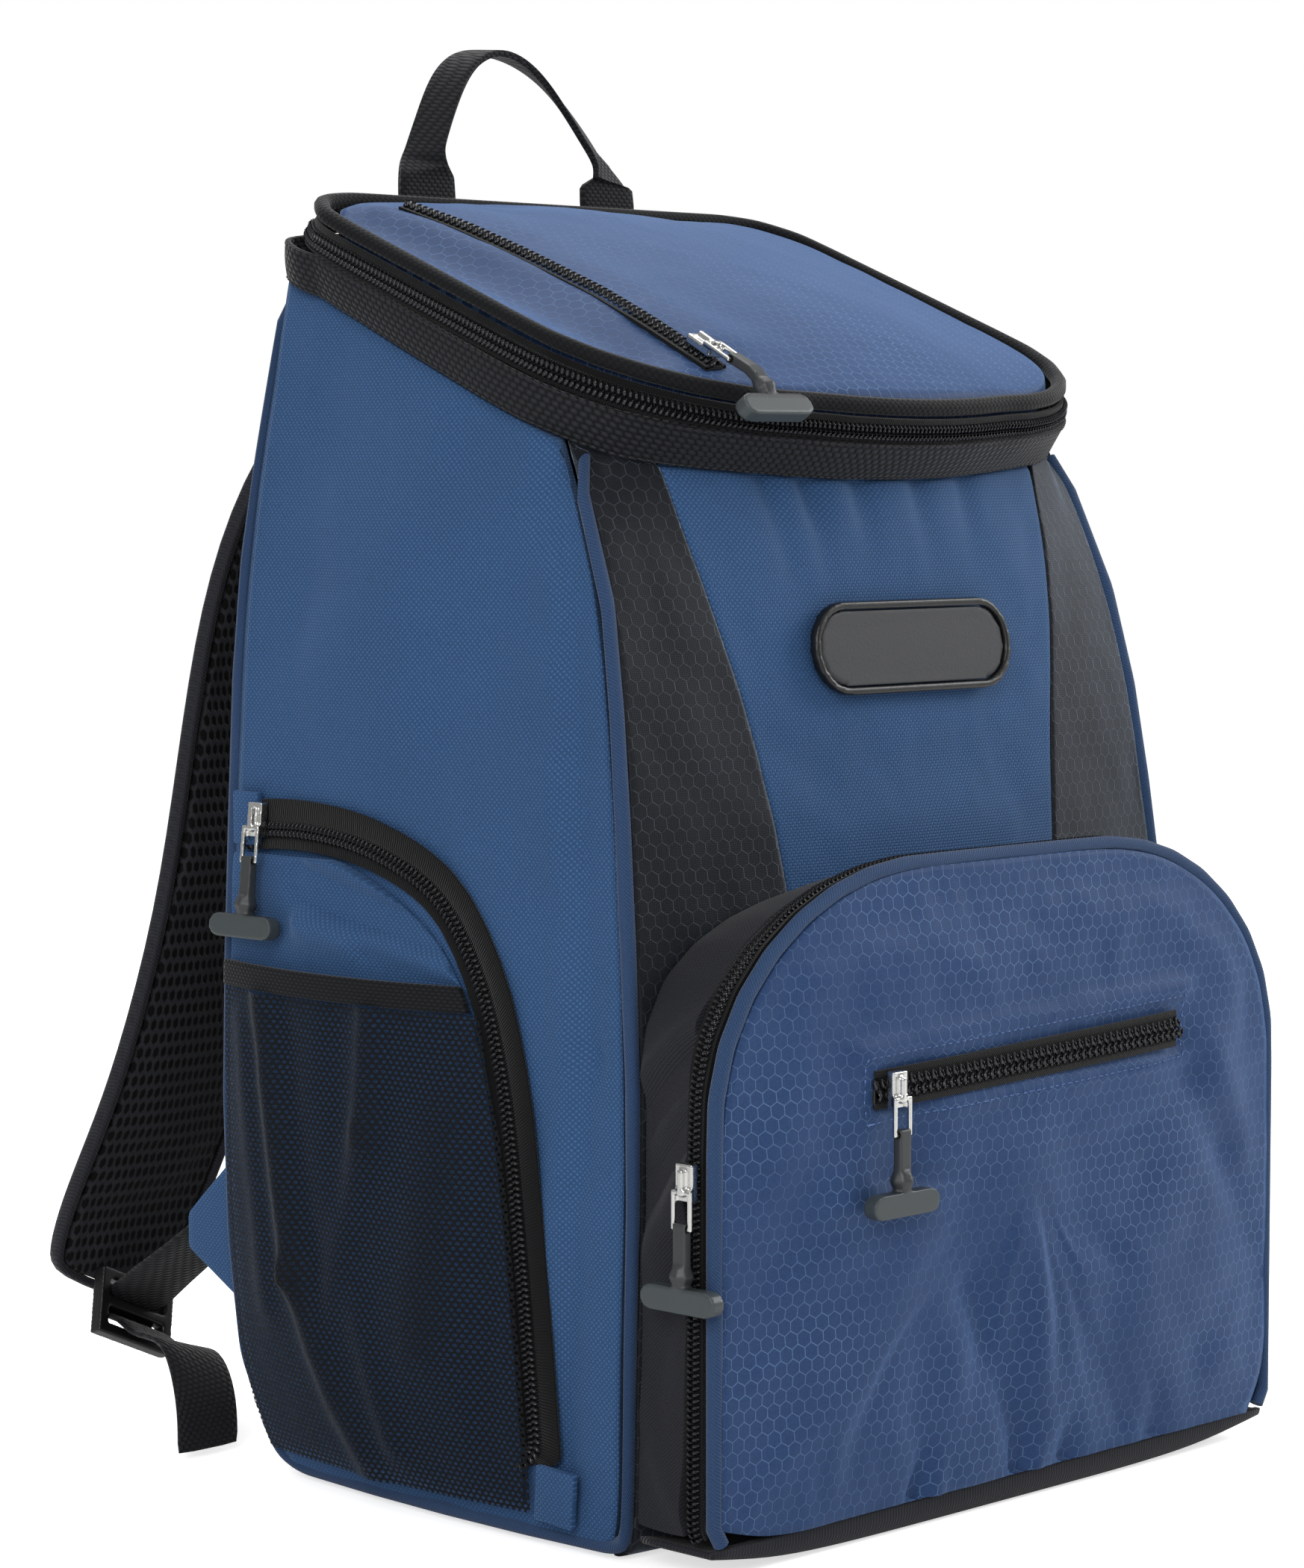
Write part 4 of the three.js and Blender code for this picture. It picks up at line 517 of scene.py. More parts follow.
def finish_piece(piece: Object, finish: Finish, nodes: Sequence[str] = (),
                 plane: Plane = Plane.STRIP) -> None:
    """Dresses a piece, puts it on the bag and hides the solids that it stands for.

    Args:
        piece: the piece, in place.
        finish: its cloth or moulded finish.
        nodes: the solids that it stands for.
        plane: where its pattern lies.
    """
    piece.data.materials.clear()
    piece.data.materials.append(finish.material(plane))
    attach(piece, "root")
    if nodes:
        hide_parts(*nodes)
    LOG.info("%s: %d faces", piece.name, len(piece.data.polygons))


def to_object(mesh_source: bmesh.types.BMesh, name: str, crisp: float = CRISP) -> Object:
    """Object of an edited mesh, smooth but for its sharp edges.

    Args:
        mesh_source: the mesh, which is freed.
        name: the object's name.
        crisp: angle between faces, in radians, from which an edge stays sharp.

    Returns:
        The object, linked to the scene.
    """
    for face in mesh_source.faces:
        face.smooth = True
    for edge in mesh_source.edges:
        edge.smooth = not edge.is_manifold or edge.calc_face_angle(0) < crisp
    mesh = bpy.data.meshes.new(name)
    mesh_source.to_mesh(mesh)
    mesh_source.free()
    made = bpy.data.objects.new(name, mesh)
    bpy.context.scene.collection.objects.link(made)
    return made


def bake(piece: Object) -> None:
    """Applies all modifiers of a piece."""
    graph = bpy.context.evaluated_depsgraph_get()
    mesh = bpy.data.meshes.new_from_object(piece.evaluated_get(graph), depsgraph=graph)
    piece.modifiers.clear()
    old = piece.data
    piece.data = mesh
    bpy.data.meshes.remove(old)


@contextmanager
def editing(piece: Object) -> Iterator[bmesh.types.BMesh]:
    """Opens the mesh of a piece, and writes it back at the end."""
    edited = bmesh.new()
    edited.from_mesh(piece.data)
    yield edited
    edited.to_mesh(piece.data)
    edited.free()


def round_off(piece: Object, levels: int, crease: float) -> None:
    """Rounds a piece by subdivision.

    Args:
        piece: the piece, which is changed.
        levels: subdivision levels.
        crease: how far its sharp edges hold, from 0 to 1.
    """
    with editing(piece) as edited:
        layer = edited.edges.layers.float.get("crease_edge")
        layer = layer or edited.edges.layers.float.new("crease_edge")
        for edge in edited.edges:
            edge[layer] = crease if edge.is_manifold and edge.calc_face_angle(0) > CRISP else 0.0
    rounding = piece.modifiers.new("rounding", "SUBSURF")
    rounding.levels = levels
    rounding.render_levels = levels
    bake(piece)


def node_copy(node: str, name: str, crease: float = 0.0, levels: int = 0) -> Object:
    """Copy of a solid, its triangles paired, rounded by subdivision.

    Args:
        node: the solid's name.
        name: the copy's name.
        crease: how far its sharp edges hold, from 0 to 1.
        levels: subdivision levels.

    Returns:
        The copy.
    """
    edited = bmesh.new()
    edited.from_mesh(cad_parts[node].data)
    bmesh.ops.remove_doubles(edited, verts=edited.verts, dist=1e-6)
    bmesh.ops.join_triangles(edited, faces=edited.faces, angle_face_threshold=0.7,
                             angle_shape_threshold=1.2)
    piece = to_object(edited, name, crisp=math.pi)
    if levels:
        round_off(piece, levels, crease)
    return piece


@dataclass(frozen=True)
class Fold:
    """A crease or ridge over a panel, in millimetres in the panel's two directions."""

    start: tuple[float, float]
    end: tuple[float, float]
    width: float
    depth: float
    fade: float

    def lift(self, place: np.ndarray) -> np.ndarray:
        """Height over the panel.

        Args:
            place: points in the panel's two directions, in millimetres.

        Returns:
            The height at each point, in millimetres.
        """
        start, end = np.array(self.start), np.array(self.end)
        run = end - start
        share = np.clip(((place - start) @ run) / (run @ run), 0, 1)
        away = np.linalg.norm(place - (start + share[:, None] * run), axis=1)
        amount = self.depth + (self.fade - self.depth) * share
        return amount * np.exp(-(away / self.width) ** 2)


def fold_rows(*rows: tuple[float, ...]) -> tuple[Fold, ...]:
    """Folds from rows of start, end, width, depth and fade."""
    return tuple(Fold(row[:2], row[2:4], *row[4:]) for row in rows)


def read_points(piece: Object) -> np.ndarray:
    """Vertices of a piece, in metres."""
    points = np.zeros(len(piece.data.vertices) * 3)
    piece.data.vertices.foreach_get("co", points)
    return points.reshape(-1, 3)


def write_points(piece: Object, points: np.ndarray) -> None:
    """Moves the vertices of a piece."""
    piece.data.vertices.foreach_set("co", points.ravel())
    piece.data.update()


def normals(piece: Object) -> np.ndarray:
    """Vertex normals of a piece."""
    values = np.zeros(len(piece.data.vertices) * 3)
    piece.data.vertices.foreach_get("normal", values)
    return values.reshape(-1, 3)


def press_folds(piece: Object, folds: Sequence[Fold], out: Vector,
                ripple: float = 0.5) -> None:
    """Pushes folds and a slight unevenness into the outer face of a piece.

    Args:
        piece: the piece.
        folds: its folds, measured on the two axes square to out.
        out: the axis that its outer face looks along.
        ripple: height of the unevenness in millimetres.
    """
    points = read_points(piece)
    axes = np.flatnonzero(np.array(out) == 0)
    facing = np.clip(normals(piece) @ np.array(out) * OUTER_GAIN - OUTER_START, 0, 1)
    place = points[:, axes] / MM
    height = sum((fold.lift(place) for fold in folds), np.zeros(len(points)))
    # Mask from fold depth that draws a net more opaque and so darker in its folds: partly the net
    # lying gathered double there, partly painted shade in the creases.
    gathered_and_shade = np.clip(np.abs(height) / GATHER_AND_SHADE_DEPTH - GATHER_AND_SHADE_START, 0, GATHER_AND_SHADE_MOST)
    piece.data.attributes.new("gathered_and_shade", "FLOAT", "POINT").data.foreach_set("value", gathered_and_shade)
    rough = np.array([noise.fractal(Vector(point) * RIPPLE_SCALE, *RIPPLE_NOISE)
                      for point in points])
    height = (height + ripple * rough) * facing
    write_points(piece, points + height[:, None] * MM * np.array(out))


class Solid:
    """A node's solid, to be cut."""

    def __init__(self, node: str) -> None:
        """Args: node: the solid's name."""
        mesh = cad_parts[node].data
        self.corners = np.array([[mesh.vertices[i].co for i in face.vertices]
                                 for face in mesh.polygons])

    def cut(self, point: Vector, normal: Vector, toward: Vector) -> np.ndarray:
        """Points where a half plane crosses the solid's edges.

        Args:
            point: a point of the plane, where the half plane starts.
            normal: the plane's normal.
            toward: the direction in which the half plane runs.

        Returns:
            The crossing points, one row each.
        """
        start = np.array(point)
        side = (self.corners - start) @ np.array(normal)
        found = []
        for first, second in ((0, 1), (1, 2), (2, 0)):
            crossed = side[:, first] * side[:, second] < 0
            here, there = self.corners[crossed, first], self.corners[crossed, second]
            near, far = side[crossed, first], side[crossed, second]
            found.append(here + (there - here) * (near / (near - far))[:, None])
        points = np.concatenate(found)
        return points[(points - start) @ np.array(toward) > 0]


@dataclass
class Station:
    """One place on a strip: the middle of its outer face, and its directions."""

    centre: np.ndarray
    across: np.ndarray
    out: np.ndarray
    width: float
    depth: float

    def moved(self, shift: np.ndarray) -> "Station":
        """The same station, shifted."""
        return replace(self, centre=self.centre + shift)


def unit(vector: np.ndarray) -> np.ndarray:
    """Vector of length one."""
    return vector / max(np.linalg.norm(vector), 1e-9)


def stations_around(node: str, hub: Vector, axis: Vector, zero: Vector, start: float,
                    stop: float, count: int, outward: Vector | None = None,
                    flat: bool = True) -> list[Station]:
    """Sections of a strip that runs round an axis.

    Args:
        node: the strip's solid.
        hub: a point of the axis.
        axis: the axis, which also gives the sense of the strip's width.
        zero: the direction of angle zero.
        start: first angle in degrees.
        stop: last angle in degrees.
        count: number of cuts.
        outward: where the strip's face looks, if not away from the axis.
        flat: True for a strip that is wider than it is thick.

    Returns:
        A station for each cut that meets the solid.
    """
    solid = Solid(node)
    quarter = axis.cross(zero)
    found = []
    for angle in np.radians(np.linspace(start, stop, count)):
        radial = zero * math.cos(angle) + quarter * math.sin(angle)
        points = solid.cut(hub, axis.cross(radial), radial)
        if len(points) < 3:
            continue
        found.append(measure(points, np.array(outward or radial), np.array(axis), flat))
    return found


def stations_along(node: str, along: Vector, toward: Vector, out: Vector, across: Vector,
                   inset: float, count: int) -> list[Station]:
    """Sections of a straight strip.

    Args:
        node: the strip's solid.
        along: the axis that it runs along.
        toward: the side of that axis on which it lies.
        out: where its face looks.
        across: the sense of its width.
        inset: distance of the first and last cut from its ends, in metres.
        count: number of cuts.

    Returns:
        A station for each cut.
    """
    low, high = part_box(node)
    solid = Solid(node)
    return [measure(solid.cut(along * float(place), along, toward), np.array(out),
                    np.array(across))
            for place in np.linspace(low.dot(along) + inset, high.dot(along) - inset, count)]


def opened(rows: list[Station]) -> list[Station]:
    """The same stations, started after the widest gap between two of them."""
    start = int(np.argmax([np.linalg.norm(b.centre - a.centre) for a, b in looped(rows)])) + 1
    return [*rows[start:], *rows[:start]]


def measure(points: np.ndarray, outward: np.ndarray, sense: np.ndarray,
            flat: bool = True) -> Station:
    """Station of one section.

    Args:
        points: points of the section's outline.
        outward: roughly where the outer face looks.
        sense: roughly where the width runs.
        flat: True for a section that is wider than it is thick.

    Returns:
        The section's place, directions and size.
    """
    middle = (points.max(axis=0) + points.min(axis=0)) / 2
    across = unit(sense)
    if flat:
        across = np.linalg.svd(points - points.mean(axis=0), full_matrices=False)[2][0]
    if across @ sense < 0:
        across = -across
    out = unit(outward - across * (outward @ across))
    along = (points - middle) @ across
    proud = (points - middle) @ out
    centre = middle + across * (along.max() + along.min()) / 2 + out * proud.max()
    return Station(centre, across, out, along.max() - along.min(), proud.max() - proud.min())


def even_out(stations: Sequence[Station], pitch: float, closed: bool = False,
             smooth: int = 0) -> list[Station]:
    """Stations at an even pitch along their line.

    Args:
        stations: the stations, in order.
        pitch: distance between the new stations in metres.
        closed: True for a ring.
        smooth: passes that ease out facets.

    Returns:
        The new stations.
    """
    rows = np.array([np.concatenate([s.centre, s.across, s.out, [s.width, s.depth]])
                     for s in stations])
    for _ in range(smooth):
        if closed:
            rows = (np.roll(rows, 1, axis=0) + 2 * rows + np.roll(rows, -1, axis=0)) / 4
        else:
            rows[1:-1] = (rows[:-2] + 2 * rows[1:-1] + rows[2:]) / 4
    if closed:
        rows = np.vstack([rows, rows[:1]])
    steps = np.linalg.norm(np.diff(rows[:, :3], axis=0), axis=1)
    lengths = np.concatenate([[0], np.cumsum(steps)])
    count = max(int(round(lengths[-1] / pitch)), 2)
    targets = np.linspace(0, lengths[-1], count + 1)[:count + (0 if closed else 1)]
    new = np.stack([np.interp(targets, lengths, rows[:, i]) for i in range(rows.shape[1])], axis=1)
    return [Station(row[:3], unit(row[3:6]), unit(row[6:9]), row[9], row[10]) for row in new]


def looped(items: Sequence[object]) -> list[tuple[object, object]]:
    """Each item with the next, and the last with the first."""
    return list(zip(items, [*items[1:], items[0]]))


def ribbon(stations: Sequence[Station], profile: Sequence[tuple[float, float]], name: str,
           closed: bool = False) -> Object:
    """Strip drawn through stations, with a UV map in metres.

    Args:
        stations: the places that it passes.
        profile: closed outline of its section, as shares of the width and metres out.
        name: the piece's name.
        closed: True for a ring.

    Returns:
        The piece.
    """
    sections = [[Vector(s.centre + s.across * s.width * share + s.out * lift)
                 for share, lift in profile] for s in stations]
    sizes = [math.hypot((b[0] - a[0]) * stations[0].width, b[1] - a[1])
             for a, b in looped(profile)]
    spans = np.concatenate([[0], np.cumsum(sizes)])
    edited = bmesh.new()
    map_layer = edited.loops.layers.uv.new("strip")
    ring = [edited.verts.new(point) for point in sections[0]]
    edges = [edited.edges.new(pair) for pair in looped(ring)]
    first = ring
    reach = 0.0
    for index, points in enumerate(sections[1:], start=1):
        step = float(np.linalg.norm(stations[index].centre - stations[index - 1].centre))
        grown = bmesh.ops.extrude_edge_only(edited, edges=edges)["geom"]
        fresh = {item for item in grown if isinstance(item, bmesh.types.BMVert)}
        following = [next(e.other_vert(v) for e in v.link_edges if e.other_vert(v) in fresh)
                     for v in ring]
        for vertex, point in zip(following, points):
            vertex.co = point
        faces = [item for item in grown if isinstance(item, bmesh.types.BMFace)]
        map_faces(faces, map_layer, ring, following, (reach, reach + step), spans)
        edges = [edited.edges.get(pair) for pair in looped(following)]
        ring = following
        reach += step
    if closed:
        rim = [edited.edges.get(pair) for pair in looped(first)]
        made = bmesh.ops.bridge_loops(edited, edges=[*edges, *rim])["faces"]
        step = float(np.linalg.norm(stations[0].centre - stations[-1].centre))
        map_faces(made, map_layer, ring, first, (reach, reach + step), spans)
    else:
        for loop in (first, ring):
            bmesh.ops.contextual_create(edited, geom=loop)
    bmesh.ops.recalc_face_normals(edited, faces=edited.faces)
    return to_object(edited, name)


def map_faces(faces: Sequence[bmesh.types.BMFace], layer: bmesh.types.BMLayerItem,
              near: Sequence[bmesh.types.BMVert], far: Sequence[bmesh.types.BMVert],
              reach: tuple[float, float], spans: np.ndarray) -> None:
    """Gives the faces between two sections their places on the UV map.

    Args:
        faces: the faces.
        layer: the UV map.
        near: vertices of the earlier section.
        far: vertices of the later section.
        reach: distance of the two sections along the strip.
        spans: distance of each profile point round the section, and of its end.
    """
    order = {vertex: (index, reach[0]) for index, vertex in enumerate(near)}
    order.update({vertex: (index, reach[1]) for index, vertex in enumerate(far)})
    last = len(near) - 1
    for face in faces:
        places = [order[loop.vert] for loop in face.loops]
        wraps = {place[0] for place in places} == {0, last}
        for loop, (index, along) in zip(face.loops, places):
            turn = spans[-1] if wraps and index == 0 else spans[index]
            loop[layer].uv = (along, turn)


def band_profile(thickness: float, bulge: float) -> list[tuple[float, float]]:
    """Section of a flat strip whose face bulges, its edges rounded.

    Args:
        thickness: of the cloth, in metres.
        bulge: how far the middle stands proud of the edges.

    Returns:
        Shares of the width and metres out of the highest point.
    """
    shares = (-0.5, -0.485, -0.3, -0.1, 0.1, 0.3, 0.485, 0.5)
    edge = thickness * 0.35
    face = [(share, -bulge * (2 * share) ** 2 - (edge if abs(share) == 0.5 else 0))
            for share in shares]
    back = [(share, -bulge - thickness) for share in (0.47, -0.47)]
    return face + back


def extended(stations: Sequence[Station], length: float) -> list[Station]:
    """Stations with one more beyond each end.

    Args:
        stations: the stations, in order.
        length: how far beyond the ends the new ones lie, in metres.

    Returns:
        The longer list.
    """
    ends = []
    for last, inner in ((stations[0], stations[4]), (stations[-1], stations[-5])):
        ends.append(last.moved(unit(last.centre - inner.centre) * length))
    return [ends[0], *stations, ends[1]]


def round_strip(stations: Sequence[Station], radius: float, name: str,
                closed: bool = False, draw_in: float = 0.0) -> Object:
    """Round piping through the middles of a row of sections.

    Args:
        stations: sections of the piping's solid.
        radius: of the piping, in metres.
        name: the piece's name.
        closed: True for a ring.
        draw_in: how far the piping is pulled in towards its seam, in metres.

    Returns:
        The piece.
    """
    inner = [replace(s.moved(-s.out * (s.depth / 2 + draw_in)), width=2 * radius)
             for s in stations]
    turns = [math.tau * step / CORD_SIDES for step in range(CORD_SIDES)]
    profile = [(math.cos(turn) / 2, math.sin(turn) * radius) for turn in turns]
    return ribbon(inner, profile, name, closed)


def frame_at(stations: Sequence[Station], index: int, closed: bool) -> Matrix:
    """Turned frame of a station: X along the strip, Y across it and Z out of it."""
    size = len(stations)
    after = (index + 1) % size if closed else min(index + 1, size - 1)
    before = (index - 1) % size if closed else max(index - 1, 0)
    along = unit(stations[after].centre - stations[before].centre)
    out = unit(stations[index].out - along * (stations[index].out @ along))
    across = np.cross(out, along)
    return Matrix(np.stack([along, across, out], axis=1).tolist()).to_4x4()


def walk_islands(edited: bmesh.types.BMesh) -> list[bmesh.types.BMVert]:
    """Vertices of a mesh of equal copies, copy by copy and in the same order in each."""
    kept = {}
    for vertex in edited.verts:
        kept.setdefault(tuple(round(value, 5) for value in vertex.co), []).append(vertex)
    return [vertex for copy in zip(*kept.values()) for vertex in copy]


def grains(stations: Sequence[Station], offsets: Sequence[tuple[float, float, float, float]],
           size: tuple[float, float, float], name: str,
           closed: bool = False) -> Object:
    """Small rounded grains along a strip: stitches, or the turns of a zip's coil.

    Args:
        stations: one for each row of grains.
        offsets: for each grain of a row its shift along, across and out, and its turn.
        size: half sizes of a grain along, across and out, in metres.
        name: the piece's name.
        closed: True for a ring.

    Returns:
        The piece.
    """
    edited = bmesh.new()
    bmesh.ops.create_uvsphere(edited, u_segments=GRAIN_SIDES[0], v_segments=GRAIN_SIDES[1],
                              radius=1.0)
    shape = Matrix.Diagonal((*size, 1))
    grain = np.array([[*vertex.co, 1] for vertex in edited.verts])
    places = []
    for index, station in enumerate(stations):
        turned = Matrix.Translation(station.centre.tolist()) @ frame_at(stations, index, closed)
        for along, across, out, turn in offsets:
            shift = Matrix.Translation((along, across, out)) @ Matrix.Rotation(turn, 4, "Z")
            places.append(np.array(turned @ shift @ shape))
    while len(edited.verts) < len(grain) * len(places):
        wanted = len(grain) * len(places) - len(edited.verts)
        edited.verts.ensure_lookup_table()
        chosen = set(edited.verts[:min(wanted, len(edited.verts))])
        faces = [face for face in edited.faces if face.verts[0] in chosen]
        bmesh.ops.duplicate(edited, geom=faces)
    points = np.concatenate([grain @ place.T for place in places])
    for vertex, point in zip(walk_islands(edited), points):
        vertex.co = point[:3]
    return to_object(edited, name)


@dataclass(frozen=True)
class Zip:
    """A coil zip: its tape and the turns of its coil, which lie in a shallow bed."""

    pitch: float = 1.5 * MM
    coil_width: float = 4.4 * MM
    coil_rise: float = 0.75 * MM
    tape: float = 0.9 * MM
    sunk: float = 0.7 * MM
    step: float = 0.3 * MM
    share: float = 0.0
    lip: float = 0.01
    slope: float = 0.05
    hem: float = 0.48
    stagger: float = 0.24
    proud: float = 0.6
    lean: float = 0.32
    grain: tuple[float, float] = (0.34, 0.3)

    def build(self, stations: Sequence[Station], node: str) -> None:
        """Makes the tape and its coil.

        Args:
            stations: the zip's line.
            node: the solid that it replaces.
        """
        half = self.coil_width / 2 / float(np.mean([s.width for s in stations]))
        low, high = self.share - half, self.share + half
        edge = self.sunk + self.step
        bed = edge + self.step
        side = [(-0.5, -edge), (self.lip - 0.5, -self.sunk)]
        profile = [*side, (low - self.slope, -self.sunk), (low, -bed), (high, -bed),
                   (high + self.slope, -self.sunk), *((-a, b) for a, b in reversed(side)),
                   (self.hem, -edge - self.tape), (-self.hem, -edge - self.tape)]
        tape = ribbon(stations, profile, f"{node}_tape")
        finish_piece(tape, ZIP_TAPE, [node])
        line = [s.moved(s.across * s.width * self.share) for s in stations]
        reach = self.coil_width * self.stagger
        lift = -edge + self.coil_rise * self.proud
        offsets = [(0, reach, lift, self.lean), (self.pitch / 2, -reach, lift, -self.lean)]
        size = (self.pitch * self.grain[0], self.coil_width * self.grain[1], self.coil_rise)
        coil = grains(even_out(line, self.pitch), offsets, size, f"{node}_coil")
        finish_piece(coil, COIL)


@dataclass
class Seam:
    """A row of stitches laid on a surface."""

    pitch: float = 3.2 * MM
    length: float = 1.15 * MM
    thick: float = 0.3 * MM
    start: float = 80 * MM

    def lay(self, surface: Object, route: Sequence[Vector], out: Vector,
            name: str, finish: Finish) -> None:
        """Drops a closed route onto a surface and stitches along it.

        Args:
            surface: the piece that is stitched.
            route: corners of the line, anywhere along out.
            out: the direction away from the surface.
            name: the stitches' name.
            finish: the thread's finish.
        """
        flat = [Station(np.array(p), np.array(Z_AXIS), np.array(out), 1.0, 1.0) for p in route]
        tree = tree_of(surface)
        found = []
        for row in even_out(flat, self.pitch, closed=True):
            hit, facing, _, _ = tree.ray_cast(Vector(row.centre) + out * self.start, -out)
            if hit is not None:
                found.append(Station(np.array(hit), row.across, np.array(facing), 1.0, 1.0))
        size = (self.length, self.thick, self.thick)
        piece = grains(found, [(0, 0, 0.1 * MM, 0)], size, name, closed=True)
        finish_piece(piece, finish)


def tree_of(piece: Object) -> BVHTree:
    """Search tree of a piece's mesh."""
    return BVHTree.FromPolygons([v.co for v in piece.data.vertices],
                                [tuple(p.vertices) for p in piece.data.polygons])


def cast(node: str, finish: Finish, voxel: float, passes: int) -> Object:
    """Puts a rounded copy in place of a hard solid, as a mould leaves it.

    Args:
        node: the solid's name.
        finish: the copy's finish.
        voxel: grid size of the rounding, in metres.
        passes: smoothing passes.

    Returns:
        The copy.
    """
    piece = node_copy(node, f"{node}_cast")
    remesh = piece.modifiers.new("grid", "REMESH")
    remesh.mode = "VOXEL"
    remesh.voxel_size = voxel
    remesh.use_smooth_shade = True
    smooth = piece.modifiers.new("ease", "SMOOTH")
    smooth.factor = 0.5
    smooth.iterations = passes
    bake(piece)
    finish_piece(piece, finish, [node])
    return piece


def puff(piece: Object, held: np.ndarray, pressure: float, growth: float,
         cap: float) -> None:
    """Swells a padded piece by cloth simulation and keeps the result.

    Args:
        piece: the piece, which is changed.
        held: for each vertex how firmly it is held, from 0 to 1.
        pressure: inner pressure.
        growth: share by which the cloth is longer than its rest shape.
        cap: furthest that a point may move, in metres.
    """
    before = read_points(piece)
    group = piece.vertex_groups.new(name="held")
    for index, weight in enumerate(held):
        group.add([index], float(weight), "REPLACE")
    cloth = piece.modifiers.new("cloth", "CLOTH")
    settings = cloth.settings
    for key, value in CLOTH.items():
        setattr(settings, key, value)
    settings.uniform_pressure_force = pressure
    settings.shrink_min = -growth
    settings.vertex_group_mass = "held"
    settings.effector_weights.gravity = 0
    cloth.collision_settings.use_collision = False
    cloth.point_cache.frame_start = 1
    cloth.point_cache.frame_end = CLOTH_FRAMES
    for step in range(1, CLOTH_FRAMES + 1):
        bpy.context.scene.frame_set(step)
    bake(piece)
    moved = read_points(piece) - before
    reach = np.linalg.norm(moved, axis=1)
    scale = cap * np.tanh(reach / cap) / np.maximum(reach, 1e-9)
    write_points(piece, before + moved * scale[:, None])
    bpy.context.scene.frame_set(1)


def sewn_hold(piece: Object, nodes: Sequence[str], rim: float) -> np.ndarray:
    """How firmly the solids sewn on a piece hold it: fully under them, not at all away.

    Args:
        piece: the piece.
        nodes: the solids on it.
        rim: width in metres over which the hold fades.

    Returns:
        One weight a vertex.
    """
    trees = [tree_of(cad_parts[node]) for node in nodes]
    away = [min(tree.find_nearest(vertex.co)[3] for tree in trees)
            for vertex in piece.data.vertices]
    return np.clip(HELD_UNDER - np.array(away) / rim, 0, 1)


def edge_hold(piece: Object, rim: float) -> np.ndarray:
    """How firmly each vertex is held: fully at the sharp rim, not at all inside it.

    Args:
        piece: the piece.
        rim: width in metres over which the hold fades.

    Returns:
        One weight a vertex.
    """
    edited = bmesh.new()
    edited.from_mesh(piece.data)
    border = {vertex.index for edge in edited.edges
              if not edge.is_manifold or edge.calc_face_angle(0) > RIM_ANGLE
              for vertex in edge.verts}
    edited.free()
    points = read_points(piece)
    if not border:
        return np.zeros(len(points))
    near = KDTree(len(border))
    for index in border:
        near.insert(points[index], index)
    near.balance()
    away = np.array([near.find(point)[2] for point in points])
    return np.clip(1 - away / rim, 0, 1)


@dataclass(frozen=True, kw_only=True)
class Cover:
    """The cloth over a solid.

    crease is how far its seams hold their shape, from 0 to 1, levels how often it is
    subdivided, out the axis that its folded face looks along, ripple its unevenness in
    millimetres, fill how full its padding is, which is not used, and ending what its name ends in.
    """

    finish: Finish
    plane: Plane
    crease: float
    levels: int = 3
    out: Vector | None = None
    folds: tuple[Fold, ...] = ()
    ripple: float = 0.5
    fill: float | None = None
    ending: str = "cloth"

    def shape(self, node: str) -> Object:
        """Rounded copy of a solid."""
        return node_copy(node, f"{node}_{self.ending}", self.crease, self.levels)

    def lay(self, node: str) -> None:
        """Makes the cloth in place of a solid."""
        piece = self.shape(node)
        if self.out is not None:
            press_folds(piece, self.folds, self.out, self.ripple)
        finish_piece(piece, self.finish, [node], self.plane)


@dataclass(frozen=True, kw_only=True)
class Padding(Cover):
    """A cover that is swollen by simulation between its seams.

    rim is the width over which its seams hold it, cap the furthest that a point may move,
    both in metres, sewn the solids sewn on it, sewn_rim the width over which they hold it,
    and slack the share by which its cloth is longer than the panel.
    """

    rim: float
    pressure: float
    cap: float
    levels: int = 2
    sewn: tuple[str, ...] = ()
    sewn_rim: float = 18 * MM
    slack: float = 0.012

    def shape(self, node: str) -> Object:
        """Copy of a solid, swollen between two roundings."""
        piece = super().shape(node)
        held = edge_hold(piece, self.rim)
        if self.sewn:
            held = np.maximum(held, sewn_hold(piece, self.sewn, self.sewn_rim))
        puff(piece, held, self.pressure, self.slack, self.cap)
        round_off(piece, 1, self.crease)
        return piece


